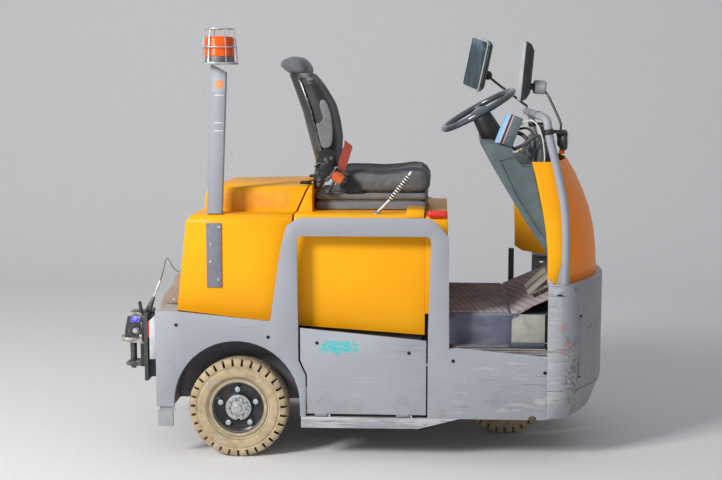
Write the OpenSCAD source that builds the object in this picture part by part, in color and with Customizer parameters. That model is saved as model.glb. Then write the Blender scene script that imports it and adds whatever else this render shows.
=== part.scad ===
/* [Body] */
// Width over the side plates
body_w = 1000; // [960:5:1040]
// Thickness of the side plates
plate_t = 10; // [6:1:12]
// Rear end of the side plates, behind the vehicle's middle
body_back = 812; // [800:1:830]
// Front end of the sills, where the bumper begins
sill_front = 812; // [800:1:826]
// Front of the bumper
nose_x = 1083; // [1070:1:1100]
// Bottom of the sills and side plates
sill_z = 182; // [170:1:195]
// Top of the portals beside the seat
portal_z = 1016; // [1005:1:1040]
// Height of the footwell floor
floor_z = 610; // [590:1:625]
// Height of the side steps
step_z = 480; // [465:1:490]
// Width of each side step
step_w = 90; // [70:1:100]
// Running gap round the doors and the seat hood
panel_gap = 6; // [4:0.5:9]
// Gap between pieces that are bolted face to face
seat_gap = 0.3; // [0.1:0.1:0.5]
/* [Wheels] */
// Outer diameter of the tyres
tyre_d = 418; // [400:2:424]
// Width of the tyres
tyre_w = 110; // [96:1:116]
// Number of lugs round each tyre shoulder
lug_count = 31; // [24:1:34]
// Radial depth of the slots between lugs
lug_depth = 29; // [20:1:32]
// Width of the slots between lugs
lug_slot = 10; // [6:1:12]
// Diameter of the rim flange
rim_d = 262; // [246:2:268]
// Diameter of the wheel disc inside the rim
disc_d = 212; // [200:2:220]
// Diameter of the hub flange
hub_d = 108; // [100:2:116]
// Circle of the five wheel nuts
nut_circle = 156; // [150:1:166]
// Distance between the rear axle and the front wheel
wheelbase = 1136; // [1120:2:1150]
// Rear axle, behind the vehicle's middle
axle_back = 471; // [466:1:476]
// Outer face of a rear tyre, inside the body width
wheel_inset = 10; // [6:1:16]
// Radius of the rear wheel arch
arch_r = 265; // [256:1:272]
// Diameter of the axle shafts
axle_d = 44; // [36:1:48]
// Radial running clearance of shafts and pins
run_gap = 0.05; // [0.02:0.01:0.1]
/* [Steering] */
// Diameter of the king pin
king_d = 70; // [60:1:76]
// Diameter of the steering wheel
wheel_d = 371; // [350:1:390]
// Thickness of the steering wheel rim
grip_d = 30; // [24:1:34]
// Slope of the steering wheel, rising towards the front
wheel_tilt = 29; // [24:1:34]
// Sideways lean of the steering column towards the step
wheel_skew = 4.5; // [0:0.5:6]
/* [Hoods] */
// Gap between the side plates and the hoods beside the portals
hood_inset = 50; // [44:1:60]
// Half width of the raised middle of the rear hood
ridge_half = 310; // [290:1:330]
// Height of the hoods' shoulders
shoulder_z = 1022; // [1018:1:1030]
// Height of the raised middle at its front
ridge_z = 1130; // [1110:1:1140]
// Wall thickness of the moulded hoods
hood_t = 6; // [4:0.5:8]
// Front edge of the seat hood
lid_front = 303; // [295:1:310]
/* [Seat] */
// Width of the seat
seat_w = 480; // [440:2:520]
// Height of the top of the suspension base
base_top = 1095; // [1085:1:1102]
// Height of the cushion's front
cushion_z = 1214; // [1190:1:1230]
// Height of the top of the backrest
back_z = 1680; // [1650:1:1700]
/* [Fittings] */
// Diameter of the front guard hoop
hoop_d = 34; // [26:1:36]
// Height of the hoop's cross tube
hoop_z = 1430; // [1415:1:1445]
// Width of the beacon pole
pole_w = 62; // [50:1:70]
// Depth of the beacon pole
pole_d = 40; // [30:1:44]
// Height of the beacon's mounting disc
beacon_z = 1641; // [1620:1:1660]
// Diameter of the beacon lens
lens_d = 123; // [110:1:130]
// Width of the mirrors
mirror_w = 150; // [140:2:160]
// Height of the mirrors
mirror_h = 240; // [220:5:250]
// Diameter of the head lamps
lamp_d = 84; // [76:2:92]
// Reach of the tow coupling behind the body
coupling_reach = 271; // [262:1:280]
// Height of the floor of the coupling's mouth
mouth_z = 307; // [295:1:315]
// Height of the coupling's mouth
mouth_h = 85; // [75:1:95]
// Sideways distance between the coupling plate's holes
ladder_y = 120; // [110:1:130]
// Vertical pitch of the coupling plate's holes
ladder_z = 55; // [50:1:60]
// Diameter of the coupling plate's holes
ladder_hole = 15; // [13:0.5:17]
/* [Hidden] */
$fn = 48;
grey = [0.65, 0.67, 0.71];
dark = [0.16, 0.17, 0.19];
yellow = [1.0, 0.74, 0.08];
steel = [0.74, 0.75, 0.76];

half_w = body_w / 2;
inner_w = half_w - plate_t;
hood_half = inner_w - hood_inset;
tyre_r = tyre_d / 2;
axle_x = -axle_back;
front_x = wheelbase - axle_back;
rear_x = -body_back;
rail_top = sill_z - seat_gap;
arch_z = tyre_r + 25;
deck_t = 6;
tray_t = 6;
battery_half = half_w - 100;
liner_t = 4;
liner_in = half_w - wheel_inset - tyre_w - 24;
door_foot = sill_z + 14;
hinge_y = inner_w + 3;
hinge_z = sill_z + 8;
knuckle_r = 6;
hinge_pin_r = 3;
lid_back = -237;
ridge_x = -184;
ridge_front = -172;
lid_pin = [-178, ridge_z + 10];
hood_front = lid_back - panel_gap - 2;
knee_x = lid_front + panel_gap;
lid_half = hood_half - 10;
skirt_z = portal_z - 58;
lid_clear = 13;
knee_front = 400;
bumper_z = 748;
seam_z = 305;
cowl_half = half_w - 40;
hand_hub = [534, 0, 1444];
hoop_y = half_w - hoop_d / 2 - 2;
hoop_x = 772;
corner_r = 30;

function arc(cx, cy, r, a0, a1, n) =
    [for (i = [0:n]) [cx + r * cos(a0 + (a1 - a0) * i / n), cy + r * sin(a0 + (a1 - a0) * i / n)]];
function unit(v) = v / norm(v);
function tangent(path, i) = unit(path[min(i + 1, len(path) - 1)] - path[max(i - 1, 0)]);
function rounded(half_u, half_v, r, n = 3) = concat(
    arc(half_u - r, half_v - r, r, 0, 90, n), arc(-half_u + r, half_v - r, r, 90, 180, n),
    arc(-half_u + r, -half_v + r, r, 180, 270, n), arc(half_u - r, -half_v + r, r, 270, 360, n));
function ring_at(p, t, r, ref, sides) =
    let (u = unit(cross(t, ref)), v = cross(t, u))
    [for (k = [0:sides - 1]) p + r * (cos(360 * k / sides) * u + sin(360 * k / sides) * v)];

module along_x(x0, x1) translate([x0, 0, 0]) rotate([90, 0, 90]) linear_extrude(height = x1 - x0) children();
module along_y(y0, y1) translate([0, y1, 0]) rotate([90, 0, 0]) linear_extrude(height = y1 - y0) children();
module along_z(z0, z1) translate([0, 0, z0]) linear_extrude(height = z1 - z0) children();
module block(x0, x1, y0, y1, z0, z1) translate([x0, y0, z0]) cube([x1 - x0, y1 - y0, z1 - z0]);
module both_sides() {
    children();
    mirror([0, 1, 0]) children();
}
// Closed skin through rings of equal length, each ring anticlockwise seen from the far end
module loft(rings) {
    n = len(rings[0]);
    m = len(rings);
    polyhedron(
        points = [for (ring = rings) for (p = ring) p],
        faces = concat(
            [[for (i = [0:n - 1]) i]],
            [[for (i = [n - 1:-1:0]) (m - 1) * n + i]],
            [for (j = [0:m - 2]) for (i = [0:n - 1]) [j * n + i, (j + 1) * n + i, (j + 1) * n + (i + 1) % n]],
            [for (j = [0:m - 2]) for (i = [0:n - 1]) [j * n + i, (j + 1) * n + (i + 1) % n, j * n + (i + 1)
                % n]]
        )
    );
}
// Round bar bent along the points of a path; r is its radius, or one radius for each point
module bar(path, r, ref, sides = 10) {
    loft([for (i = [0:len(path) - 1])
        ring_at(path[i], tangent(path, i), is_list(r) ? r[i] : r, ref, sides)]);
}

module side_outline() {
    polygon(concat(
        [[rear_x, 217], [rear_x, 622], [-721, 621], [-331, 584], [-287, 882], [-261, 981]],
        arc(-191, portal_z - 68, 68, 140, 90, 6),
        arc(304, portal_z - 78, 78, 90, 40, 5),
        arc(350, 920, 56, 30, 0, 3),
        [[410, 476]],
        arc(438, 457, 24, 90, 88, 1),
        [[786, 450], [sill_front, 448], [sill_front, sill_z]],
        arc(755, sill_z, 18, 0, 180, 6),
        [[-208, sill_z]],
        arc(axle_x - 2, arch_z, arch_r, 0, 188, 24),
        [[-737, 217]]
    ));
}
// The doorway to the battery below and the window to the hood above
module portal_cut() {
    polygon(concat(
        [[-184, sill_z - 1], [322, sill_z - 1], [323, 560]],
        arc(313, portal_z - 96, 20, 0, 90, 4),
        arc(-198, portal_z - 96, 20, 90, 180, 4),
        [[-214, 560], [-214, 420], [-184, 357]]
    ));
}
module side_plate() {
    difference() {
        along_y(-half_w, -inner_w) side_outline();
        along_y(-half_w - 1, -inner_w + 1) portal_cut();
    }
    block(rear_x + 4, rear_x + 68, -half_w + 2, -inner_w, 131, 200);
    block(rear_x + 10 + seat_gap, rear_x + 68, -inner_w, -inner_w + 6, 131, 240);
}
module side_plate_right() color(grey) side_plate();
module side_plate_left() color(grey) mirror([0, 1, 0]) side_plate();

module arch_liners() color(dark) both_sides() {
    along_y(-inner_w + seat_gap, -liner_in) translate([axle_x - 2, arch_z]) polygon(concat(
        arc(0, 0, arch_r + liner_t, -2, 182, 24), arc(0, 0, arch_r, 182, -2, 24)));
    difference() {
        along_y(-liner_in, -liner_in + liner_t) translate([axle_x - 2, arch_z]) polygon(
            arc(0, 0, arch_r + liner_t, -2, 182, 24));
        translate([axle_x, 0, tyre_r]) rotate([90, 0, 0]) cylinder(r = 70, h = 2 * half_w, center = true);
    }
}

rail_out = liner_in - 16;
rail_in = rail_out - 50;
beam_out = half_w - 70;
beam_in = half_w - 120;
rail_z = 270;
rail_h = 70;
bulkhead_x = -196;
module chassis_frame() color(dark) {
    both_sides() {
        block(rear_x + 12, bulkhead_x, -rail_out, -rail_in, rail_z, rail_z + rail_h);
        block(370, 806, -beam_out, -beam_in, sill_z + 6, 268);
        block(500, 806, -beam_in - 12, -beam_in - 4, 268, floor_z - 10 - seat_gap);
    }
    block(rear_x + 12, rear_x + 62, -rail_in, rail_in, rail_z, rail_z + rail_h);
    block(bulkhead_x - 50, bulkhead_x, -rail_in, rail_in, rail_z, rail_z + rail_h);
    block(bulkhead_x, bulkhead_x + 6, -rail_out, rail_out, sill_z, rail_z + rail_h);
    block(bulkhead_x, 376, -half_w + 30, half_w - 30, sill_z, sill_z + tray_t);
    block(370, 420, -beam_in, beam_in, sill_z + 6, 268);
    difference() {
        block(front_x - 100, front_x + 100, -beam_in - 4, beam_in + 4, 476, 506);
        translate([front_x, 0, 470]) cylinder(d = king_d + 2 * run_gap, h = 40);
    }
}

// Top of the sloping deck that the rear hood stands on
function deck_z(x) = 560 + 0.0945 * (-245 - x);
module rear_wall() color(grey) {
    block(rear_x, rear_x + 10, -inner_w + seat_gap, inner_w - seat_gap, 217, deck_z(rear_x) - 1);
    along_y(-inner_w + seat_gap, inner_w - seat_gap) polygon([
        [rear_x, deck_z(rear_x) - deck_t], [rear_x, deck_z(rear_x)], [-245, deck_z(-245)],
        [-245, deck_z(-245) - deck_t]]);
}

module tail_profile(t) {
    polygon([[rear_x - 27 + t, 560 + t], [rear_x - 27 + t, 593], [rear_x - 22 + t, 622],
        [rear_x - 3 + t, 664],
        [rear_x + 7 + t, 671], [rear_x + 31 + t, 703], [rear_x + 34 + t, 731], [rear_x + 65 + t, 761 - t],
        [-718 - t, 761 - t], [-735, 614.5 + t], [rear_x - 1, 614.5 + t], [rear_x - 1, 560 + t]]);
}
module tail_console() color([0.45, 0.38, 0.34]) difference() {
    along_y(-270, 270) tail_profile(0);
    along_y(-262, 262) tail_profile(8);
}

module lamp_housings() color([0.78, 0.8, 0.82]) both_sides() {
    along_y(-half_w + 12, -350) polygon([[rear_x - 28, 415], [rear_x - seat_gap, 415],
        [rear_x - seat_gap, 597],
        [rear_x - 8, 597], [rear_x - 28, 577]]);
}
module tail_lenses() color([0.8, 0.08, 0.06]) both_sides() {
    along_y(-half_w + 18, -356) polygon(concat([[rear_x - 28 - seat_gap, 505], [rear_x - 28 - seat_gap, 575]],
        arc(rear_x - 30, 569, 6, 90, 180, 3), arc(rear_x - 30, 511, 6, 180, 270, 3)));
}

// Side shape of the rear hood's shoulders, inset by t all round
module hood_low(t) {
    polygon(concat(
        [[-731 + t, deck_z(-731) + (t > 0 ? -9 : seat_gap)],
            [hood_front - t, deck_z(hood_front) + (t > 0 ? -9 : seat_gap)],
            [hood_front - t, shoulder_z - t]],
        arc(-645, shoulder_z - 44, 44 - t, 90, 175, 5)
    ));
}
module hood_high(t) {
    polygon(concat(
        [[-640 + t, 900], [hood_front - t, 900], [hood_front - t, shoulder_z - 6],
            [ridge_x - panel_gap - 2 - t, ridge_z - t]],
        arc(-592, ridge_z - 45, 36 - t, 95, 175, 5)
    ));
}
module hood_section(half, top, r, t) {
    polygon(concat(
        [[-half + t, 400], [half - t, 400]],
        arc(half - r, top - r, r - t, 0, 90, 6),
        arc(-half + r, top - r, r - t, 90, 180, 6)
    ));
}
module hood_body(t) {
    intersection() {
        along_y(-half_w, half_w) hood_low(t);
        along_x(-800, 0) hood_section(hood_half, shoulder_z, 40, t);
    }
    intersection() {
        along_y(-half_w, half_w) hood_high(t);
        along_x(-800, 0) hood_section(ridge_half, ridge_z, 36, t);
    }
}
hinge_ys = [-200, 200];
module rear_hood() color(yellow) {
    difference() {
        hood_body(0);
        hood_body(hood_t);
    }
    for (y = hinge_ys) difference() {
        union() for (side = [-1, 1]) {
            block(-232, -196, y + side * 26 - 4, y + side * 26 + 4, ridge_z - 1, ridge_z + 12);
            hull() {
                translate([lid_pin[0], y + side * 26, lid_pin[1]]) rotate([90, 0, 0])
                    cylinder(r = 8, h = 8, center = true, $fn = 24);
                block(-210, -200, y + side * 26 - 4, y + side * 26 + 4, ridge_z + 1, ridge_z + 12);
            }
        }
        translate([lid_pin[0], y, lid_pin[1]]) rotate([90, 0, 0])
            cylinder(r = 4 + run_gap, h = 90, center = true);
    }
}

bracket_x = -571;
module pole_bracket() color([0.42, 0.44, 0.47]) {
    block(bracket_x - 31, bracket_x + 31, -hood_half - 6 - seat_gap, -hood_half - seat_gap, 715, 985);
}
pole_y = 35 - hood_half;
pole_foot = -571;
pole_top = -546;
module beacon_pole() color(grey) {
    along_y(pole_y - pole_d / 2, pole_y + pole_d / 2) polygon([
        [pole_foot - pole_w / 2, shoulder_z + seat_gap], [pole_foot + pole_w / 2, shoulder_z + seat_gap],
        [pole_top + pole_w / 2, beacon_z - 34], [pole_top - pole_w / 2, beacon_z - 3]]);
}
beacon_x = -542;
module at_beacon(z) translate([beacon_x, pole_y, z]) children();
module beacon_base() color([0.5, 0.5, 0.48]) at_beacon(beacon_z) rotate_extrude()
    polygon([[0, -2.6], [78, -2.6], [78, 2], [62, 2], [60, 30], [0, 30]]);
module beacon_lens() color([1.0, 0.42, 0.05]) at_beacon(beacon_z + 30 + seat_gap) rotate_extrude()
    polygon(concat([[0, 0], [lens_d / 2, 0], [lens_d / 2 - 1, 66]], arc(lens_d / 2 - 13, 70, 12, 0, 90, 4),
        [[0, 82]]));
module beacon_cage() color(steel) at_beacon(beacon_z + 2 + seat_gap) {
    cage_r = lens_d / 2 + 12;
    cage_h = 140;
    for (ring = [[cage_r, 2.5], [cage_r - 4, 66], [cage_r - 14, cage_h]])
        translate([0, 0, ring[1]]) rotate_extrude() translate([ring[0], 0]) circle(r = 2.5, $fn = 12);
    for (a = [0, 90]) rotate([0, 0, a]) translate([0, 0, cage_h]) rotate([90, 0, 0])
        cylinder(r = 2, h = 2 * (cage_r - 14), center = true, $fn = 8);
    for (a = [0:60:300]) rotate([0, 0, a])
        bar([[cage_r, 0, 2.5], [cage_r - 4, 0, 66], [cage_r - 14, 0, cage_h]], 2.4, [0, 1, 0], 8);
}

plate_x = rear_x - 128;
jaw_x = rear_x - coupling_reach;
ladder_top = 533;
module coupling_plate() color(dark) {
    difference() {
        block(plate_x - 16, plate_x, -88, 88, 228, ladder_top);
        for (row = [0:4]) for (side = [-1, 1])
            translate([plate_x - 20, side * ladder_y / 2, 262 + row * ladder_z]) rotate([0, 90, 0])
                cylinder(d = ladder_hole, h = 30);
    }
    both_sides() along_y(-40, -28) polygon([[plate_x, 235], [rear_x - seat_gap, 250],
        [rear_x - seat_gap, 538], [plate_x, 520]]);
}
pin_x = jaw_x + 58;
pin_r = 15;
jaw_back = plate_x - 16 - seat_gap;
lip_t = 26;
arm_t = 24;
// Flared lips of the mouth: outer radius r, turned round the pin
module lip(r, t) rotate_extrude() polygon([[0, 0], [r - 22, 0], [r - 8, 6], [r, 17], [r - 3, t - 1],
    [r - 14, t - 5],
    [r - 22, t], [0, t]]);
module tow_coupling() color(dark) {
    roof_z = mouth_z + mouth_h;
    difference() {
        union() {
            block(plate_x - 30, jaw_back, -78, 78, roof_z + 12, 522);
            along_y(-44, 44) polygon([[jaw_back, roof_z + 8], [jaw_back, ladder_top],
                [plate_x - 90, ladder_top], [plate_x - 98, 524],
                [plate_x - 112, 459], [plate_x - 116, roof_z + 20], [plate_x - 116, roof_z + 8]]);
            along_y(-52, 52) polygon([[jaw_back, roof_z + 20], [jaw_back, 518], [plate_x - 70, 518],
                [plate_x - 92, 486],
                [plate_x - 98, roof_z + 20]]);
            translate([pin_x, 0, roof_z]) lip(pin_x - jaw_x, lip_t);
            block(pin_x, jaw_back, -48, 48, roof_z + 2, roof_z + lip_t);
            translate([pin_x, 0, mouth_z]) mirror([0, 0, 1]) lip(37, arm_t);
            block(pin_x, jaw_back, -34, 34, mouth_z - arm_t, mouth_z - 2);
            block(plate_x - 44, jaw_back, -42, 42, mouth_z - arm_t, roof_z + 10);
            translate([plate_x - 58, -51, 453]) rotate([90, 0, 0]) cylinder(r = 30, h = 15);
            along_y(-72, -51) polygon([[plate_x - 22, 440], [plate_x - 18, 500], [plate_x - 40, 506],
                [plate_x - 44, 440]]);
        }
        translate([pin_x, 0, mouth_z - 60]) cylinder(r = pin_r + 0.5, h = 190);
        translate([plate_x - 50, -60, 453]) rotate([90, 0, 0]) cylinder(r = 16, h = 10);
        for (row = [3, 4]) for (side = [-1, 1])
            translate([plate_x - 40, side * ladder_y / 2, 262 + row * ladder_z]) rotate([0, 90, 0])
                cylinder(d = ladder_hole, h = 30);
    }
    bar([[plate_x - 30, -62, 470], [plate_x - 29, -62, 520], [plate_x - 38, -62, 580],
        [plate_x - 39, -62, 587]],
        [8, 8, 8, 5], [0, 1, 0], 10);
}
module coupling_pin() color(steel) {
    translate([pin_x, 0, mouth_z - arm_t - 6]) cylinder(r = pin_r, h = mouth_h + arm_t + 38);
    translate([pin_x, 0, mouth_z - arm_t - 14]) cylinder(r = pin_r - 4, h = 9);
}
// Release cable: points with the radius of the cable, its crimped sleeve and its boot
RELEASE = [[-780.4, 712, 3], [-800, 713, 3], [-822, 722, 3], [-838, 740, 3], [-850, 766, 3], [-859, 778, 3],
    [-869, 762, 3], [-880, 716, 3], [-893, 675, 3], [-893.6, 673, 6], [-912, 629, 6], [-912.6, 627, 3],
    [-922, 604, 3], [-925, 597, 7], [-934, 575, 10], [-942, 558, 13],
    [-948, 546, 14], [-948, ladder_top + seat_gap, 14]];
module release_rod() color(steel)
    bar([for (p = RELEASE) [p[0], -12, p[1]]], [for (p = RELEASE) p[2]], [0, 1, 0], 12);

module door_rails() color(grey) both_sides() {
    along_y(-half_w, -half_w + 40) polygon([[-204, 135], [284, 137], [453, rail_top], [-204, rail_top]]);
    for (x = [-120, 220]) {
        block(x + 31, x + 39, -hinge_y - 4, -hinge_y + 4, rail_top - 1, hinge_z + 4);
        translate([x - 28, -hinge_y, hinge_z]) rotate([0, 90, 0]) cylinder(r = hinge_pin_r, h = 64);
    }
}
module door_outline() {
    polygon([[-178, door_foot], [316, door_foot], [316, 509], [-206, 557], [-206, 422], [-178, 359]]);
}
module battery_door() {
    along_y(-half_w, -half_w + 8) door_outline();
    for (x = [-120, 220]) difference() {
        union() {
            translate([x - 25, -hinge_y, hinge_z]) rotate([0, 90, 0]) cylinder(r = knuckle_r, h = 50);
            block(x - 25, x + 25, -half_w, -half_w + 8, hinge_z, door_foot + 4);
        }
        translate([x - 26, -hinge_y, hinge_z]) rotate([0, 90, 0]) cylinder(r = hinge_pin_r + run_gap, h = 52);
    }
}
module battery_door_right() color(grey) battery_door();
module battery_door_left() color(grey) mirror([0, 1, 0]) battery_door();
module battery_block() color([0.2, 0.22, 0.25]) block(-178, 296, -battery_half, battery_half,
    sill_z + tray_t + seat_gap, 790);

module rear_axle() color(dark) translate([axle_x, 0, tyre_r]) {
    rotate([90, 0, 0]) cylinder(d = axle_d, h = 2 * (half_w - wheel_inset - 40), center = true);
    rotate([90, 0, 0]) cylinder(d = 96, h = 2 * liner_in - 20, center = true);
    rotate([90, 0, 0]) rotate_extrude() polygon([[0, -90], [60, -90], [120, -50], [120, 50], [60, 90],
        [0, 90]]);
    both_sides() block(-30, 30, -rail_out + 5, -rail_in - 5, 0, rail_z - seat_gap - tyre_r);
}
module drive_motor() color([0.25, 0.26, 0.28]) translate([axle_x, 0, tyre_r + 120 + seat_gap])
    cylinder(d = 190, h = 225);

module wheel_tyre() {
    sidewall = tyre_w / 2;
    step_r = tyre_r - lug_depth - 10;
    difference() {
        rotate_extrude() polygon([
            [rim_d / 2 - 8, -sidewall + 14], [rim_d / 2 + 6, -sidewall + 2], [rim_d / 2 + 34, -sidewall],
            [step_r - 3, -sidewall], [step_r, -sidewall + 2.5], [step_r + 5, -sidewall + 2.5],
                [step_r + 7, -sidewall],
            [tyre_r - 14, -sidewall + 1], [tyre_r - 4, -sidewall + 7], [tyre_r, -sidewall + 17],
            [tyre_r, sidewall - 17], [tyre_r - 4, sidewall - 7], [tyre_r - 14, sidewall - 1],
            [step_r + 7, sidewall], [step_r + 5, sidewall - 2.5], [step_r, sidewall - 2.5],
                [step_r - 3, sidewall],
            [rim_d / 2 + 34, sidewall], [rim_d / 2 + 6, sidewall - 2], [rim_d / 2 - 8, sidewall - 14]]);
        for (side = [-1, 1]) translate([0, 0, side * (sidewall - 13)]) linear_extrude(height = 30,
            center = true)
            for (i = [0:lug_count - 1]) rotate(360 * (i + 0.25 * side) / lug_count)
                translate([tyre_r - lug_depth, -lug_slot / 2]) square([lug_depth + 6, lug_slot]);
    }
}
module wheel_rim() rotate_extrude() polygon([
    [rim_d / 2 - 8.3, -tyre_w / 2 + 8], [rim_d / 2 - 8.3, tyre_w / 2 - 8], [disc_d / 2 + 4, tyre_w / 2 - 10],
    [disc_d / 2, tyre_w / 2 - 22], [nut_circle / 2 + 16, tyre_w / 2 - 30], [26, tyre_w / 2 - 30],
    [26, tyre_w / 2 - 40], [disc_d / 2 - 6, tyre_w / 2 - 40], [disc_d / 2 - 2, -tyre_w / 2 + 8]]);
module wheel_hub() {
    face = tyre_w / 2 - 30 + seat_gap;
    difference() {
        union() {
            translate([0, 0, face]) cylinder(d = hub_d, h = 12);
            translate([0, 0, face + 12]) cylinder(d = hub_d * 0.55, h = 9);
            translate([0, 0, -tyre_w / 2 + 2]) cylinder(d = 51, h = face + tyre_w / 2 - 2);
            for (a = [0:45:315]) rotate([0, 0, a]) translate([hub_d * 0.39, 0, face + 11]) cylinder(r = 6,
                h = 6, $fn = 6);
            for (a = [0:72:288]) rotate([0, 0, a + 92]) translate([nut_circle / 2, 0, face])
                cylinder(r = 12, h = 14, $fn = 6);
        }
        translate([0, 0, -tyre_w]) cylinder(d = axle_d + 2 * run_gap, h = tyre_w + face - 2);
        translate([0, -hub_d / 2, face - 1]) cylinder(r = 8, h = 20, $fn = 24);
    }
}
rear_y = half_w - wheel_inset - tyre_w / 2;
module at_right() translate([axle_x, -rear_y, tyre_r]) rotate([90, 0, 0]) children();
module at_left() translate([axle_x, rear_y, tyre_r]) rotate([-90, 0, 0]) children();
module at_front() translate([front_x, 0, tyre_r]) rotate([90, 0, 0]) children();
module rim_right() color(dark) at_right() wheel_rim();
module rim_left() color(dark) at_left() wheel_rim();
module tyre_right() color([0.72, 0.64, 0.5]) at_right() wheel_tyre();
module tyre_left() color([0.72, 0.64, 0.5]) at_left() wheel_tyre();
module hub_right() color(steel) at_right() wheel_hub();
module hub_left() color(steel) at_left() wheel_hub();
module front_tyre() color([0.72, 0.64, 0.5]) at_front() wheel_tyre();
module front_rim() color(dark) at_front() difference() {
    union() {
        wheel_rim();
        translate([0, 0, -tyre_w / 2 + 2]) cylinder(d = 60, h = tyre_w - 4);
    }
    cylinder(d = axle_d + 2 * run_gap, h = 2 * tyre_w, center = true);
}
module steer_fork() color(dark) {
    leg = tyre_w / 2 + 6;
    crown = tyre_d + 14;
    translate([front_x, 0, crown]) cylinder(d = king_d, h = floor_z - 22 - crown);
    translate([front_x, 0, crown]) cylinder(d = 200, h = 34);
    both_sides() along_y(-leg - 14, -leg) polygon(concat(
        arc(front_x, tyre_r, 44, 200, 340, 8), [[front_x + 70, crown + 20], [front_x - 70, crown + 20]]));
    translate([front_x, 0, tyre_r]) rotate([90, 0, 0]) cylinder(d = axle_d, h = 2 * leg + 28, center = true);
}

tread_t = 6;
module platform() color([0.35, 0.36, 0.4]) {
    block(366, 874, -half_w + plate_t + step_w, half_w - plate_t - step_w, floor_z - 10, floor_z);
    both_sides() {
        block(411, 806, -inner_w + step_w, -inner_w + step_w + 6, step_z - tread_t, floor_z - 5);
        block(411, 806, -inner_w + seat_gap, -inner_w + step_w, step_z - tread_t, step_z);
        along_y(-inner_w + 60, -inner_w + 66) polygon(concat(
            [[669, step_z - 2]], [[806, step_z - 2], [806, floor_z]],
                arc(689, floor_z - 20, 20, 90, 180, 4)));
        block(680, 806, -inner_w + 62, -inner_w + step_w + 1, floor_z - 10, floor_z);
        for (k = [0:2]) block(424, 660, -inner_w + 14 + 24 * k, -inner_w + 24 + 24 * k, step_z - 1,
            step_z + 3);
    }
}
module floor_mat() color([0.25, 0.2, 0.18]) {
    mat_half = inner_w - step_w - 6;
    block(knee_front + 4, 660, -mat_half, mat_half, floor_z + seat_gap, floor_z + 4);
    for (y = [-mat_half + 10:26:mat_half - 16])
        block(knee_front + 10, 654, y, y + 10, floor_z + 3.5, floor_z + 7);
}
module toe_board() color([0.22, 0.2, 0.2]) along_y(-cowl_half + 40, cowl_half - 40)
    polygon([[668, floor_z + seat_gap], [880, 704], [868, 880], [874, 880], [887, 702], [760, floor_z + 36],
        [700, floor_z + seat_gap]]);
module pedals() color([0.5, 0.47, 0.42]) for (y = [-250, -90]) {
    along_y(y - 45, y + 45) polygon([[742, 676], [828, 756], [834, 750], [748, 670]]);
    along_y(y - 8, y + 8) polygon([[786, 716], [794, 712], [800, 669], [790, 664.6]]);
}
module knee_panel() color(yellow) difference() {
    along_x(knee_x, knee_front) hood_section(lid_half, shoulder_z - 4, corner_r, 0);
    along_x(knee_x - 1, knee_front - hood_t) hood_section(lid_half, shoulder_z - 4, corner_r, hood_t);
    block(0, 600, -half_w, half_w, 0, floor_z + seat_gap);
}
// Rounded grip that lies on the rounded corner of the knee panel
module stop_handle() color([0.9, 0.12, 0.1]) {
    grip_r = 16;
    reach = corner_r + grip_r + seat_gap;
    length = knee_front - knee_x - 12;
    translate([knee_x + 10, -lid_half + corner_r - reach * sin(35),
        shoulder_z - 4 - corner_r + reach * cos(35)])
        rotate([0, 90, 0]) rotate_extrude() polygon(concat([[0, 0]], arc(grip_r - 10, 10, 10, -90, 0, 4),
            arc(grip_r - 10, length - 10, 10, 0, 90, 4), [[0, length]]));
}

module bumper_plan(t, reach) {
    nose_r = 800;
    cx = nose_x - reach - nose_r;
    polygon(concat(
        [[sill_front + seat_gap - (t > 0 ? 9 : 0), -half_w + t], [864 - reach, -half_w + t]],
        arc(cx, 0, nose_r - t, -36, 36, 24),
        [[864 - reach, half_w - t], [sill_front + seat_gap - (t > 0 ? 9 : 0), half_w - t]]
    ));
}
module front_bumper() color(grey) {
    bumper_shell();
    bumper_ears();
}
module bumper_shell() difference() {
    along_z(seam_z + 1, bumper_z) bumper_plan(0, 0);
    along_z(seam_z - 2, bumper_z - 8) bumper_plan(8, 0);
    along_z(bumper_z - 10, bumper_z + 2) bumper_plan(60, 0);
    bumper_flap();
    both_sides() {
        block(850, 868, -half_w - 1, -half_w + 9, 700, 708);
        for (z = [354, 609]) translate([900, -442, z]) rotate([0, 90, 0]) cylinder(r = 5, h = 100, $fn = 24);
    }
}
// Scored outline of the flap in the bumper's front
flap_w = 400;
FLAP = [[-flap_w, seam_z - 9], [-flap_w, 531], [-386, 549], [-278, 564], [0, 572], [278, 564], [386, 549],
    [flap_w, 531], [flap_w, seam_z - 9]];
module bumper_flap() intersection() {
    along_x(850, nose_x + 10) difference() {
        polygon(FLAP);
        polygon([for (p = FLAP) [p[0] * (1 - 3 / flap_w), p[1] - 3]]);
    }
    difference() {
        along_z(seam_z - 2, bumper_z + 2) bumper_plan(-1, 0);
        along_z(seam_z - 3, bumper_z + 3) bumper_plan(2.5, 0);
    }
}
// Pointed upstands of the bumper beside the cowl
module bumper_ears() both_sides() along_y(-half_w, -half_w + 8)
    polygon([[sill_front + seat_gap, bumper_z - 8], [sill_front + seat_gap, 778], [829, 755],
        [835, bumper_z - 8]]);
module front_skirt() color(grey) difference() {
    hull() {
        along_z(seam_z - 4, seam_z - 2) bumper_plan(0, 0);
        along_z(sill_z + 4, sill_z + 6) bumper_plan(0, 45);
    }
    hull() {
        along_z(seam_z - 4, seam_z) bumper_plan(8, 0);
        along_z(sill_z + 2, sill_z + 6) bumper_plan(8, 45);
    }
}

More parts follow.
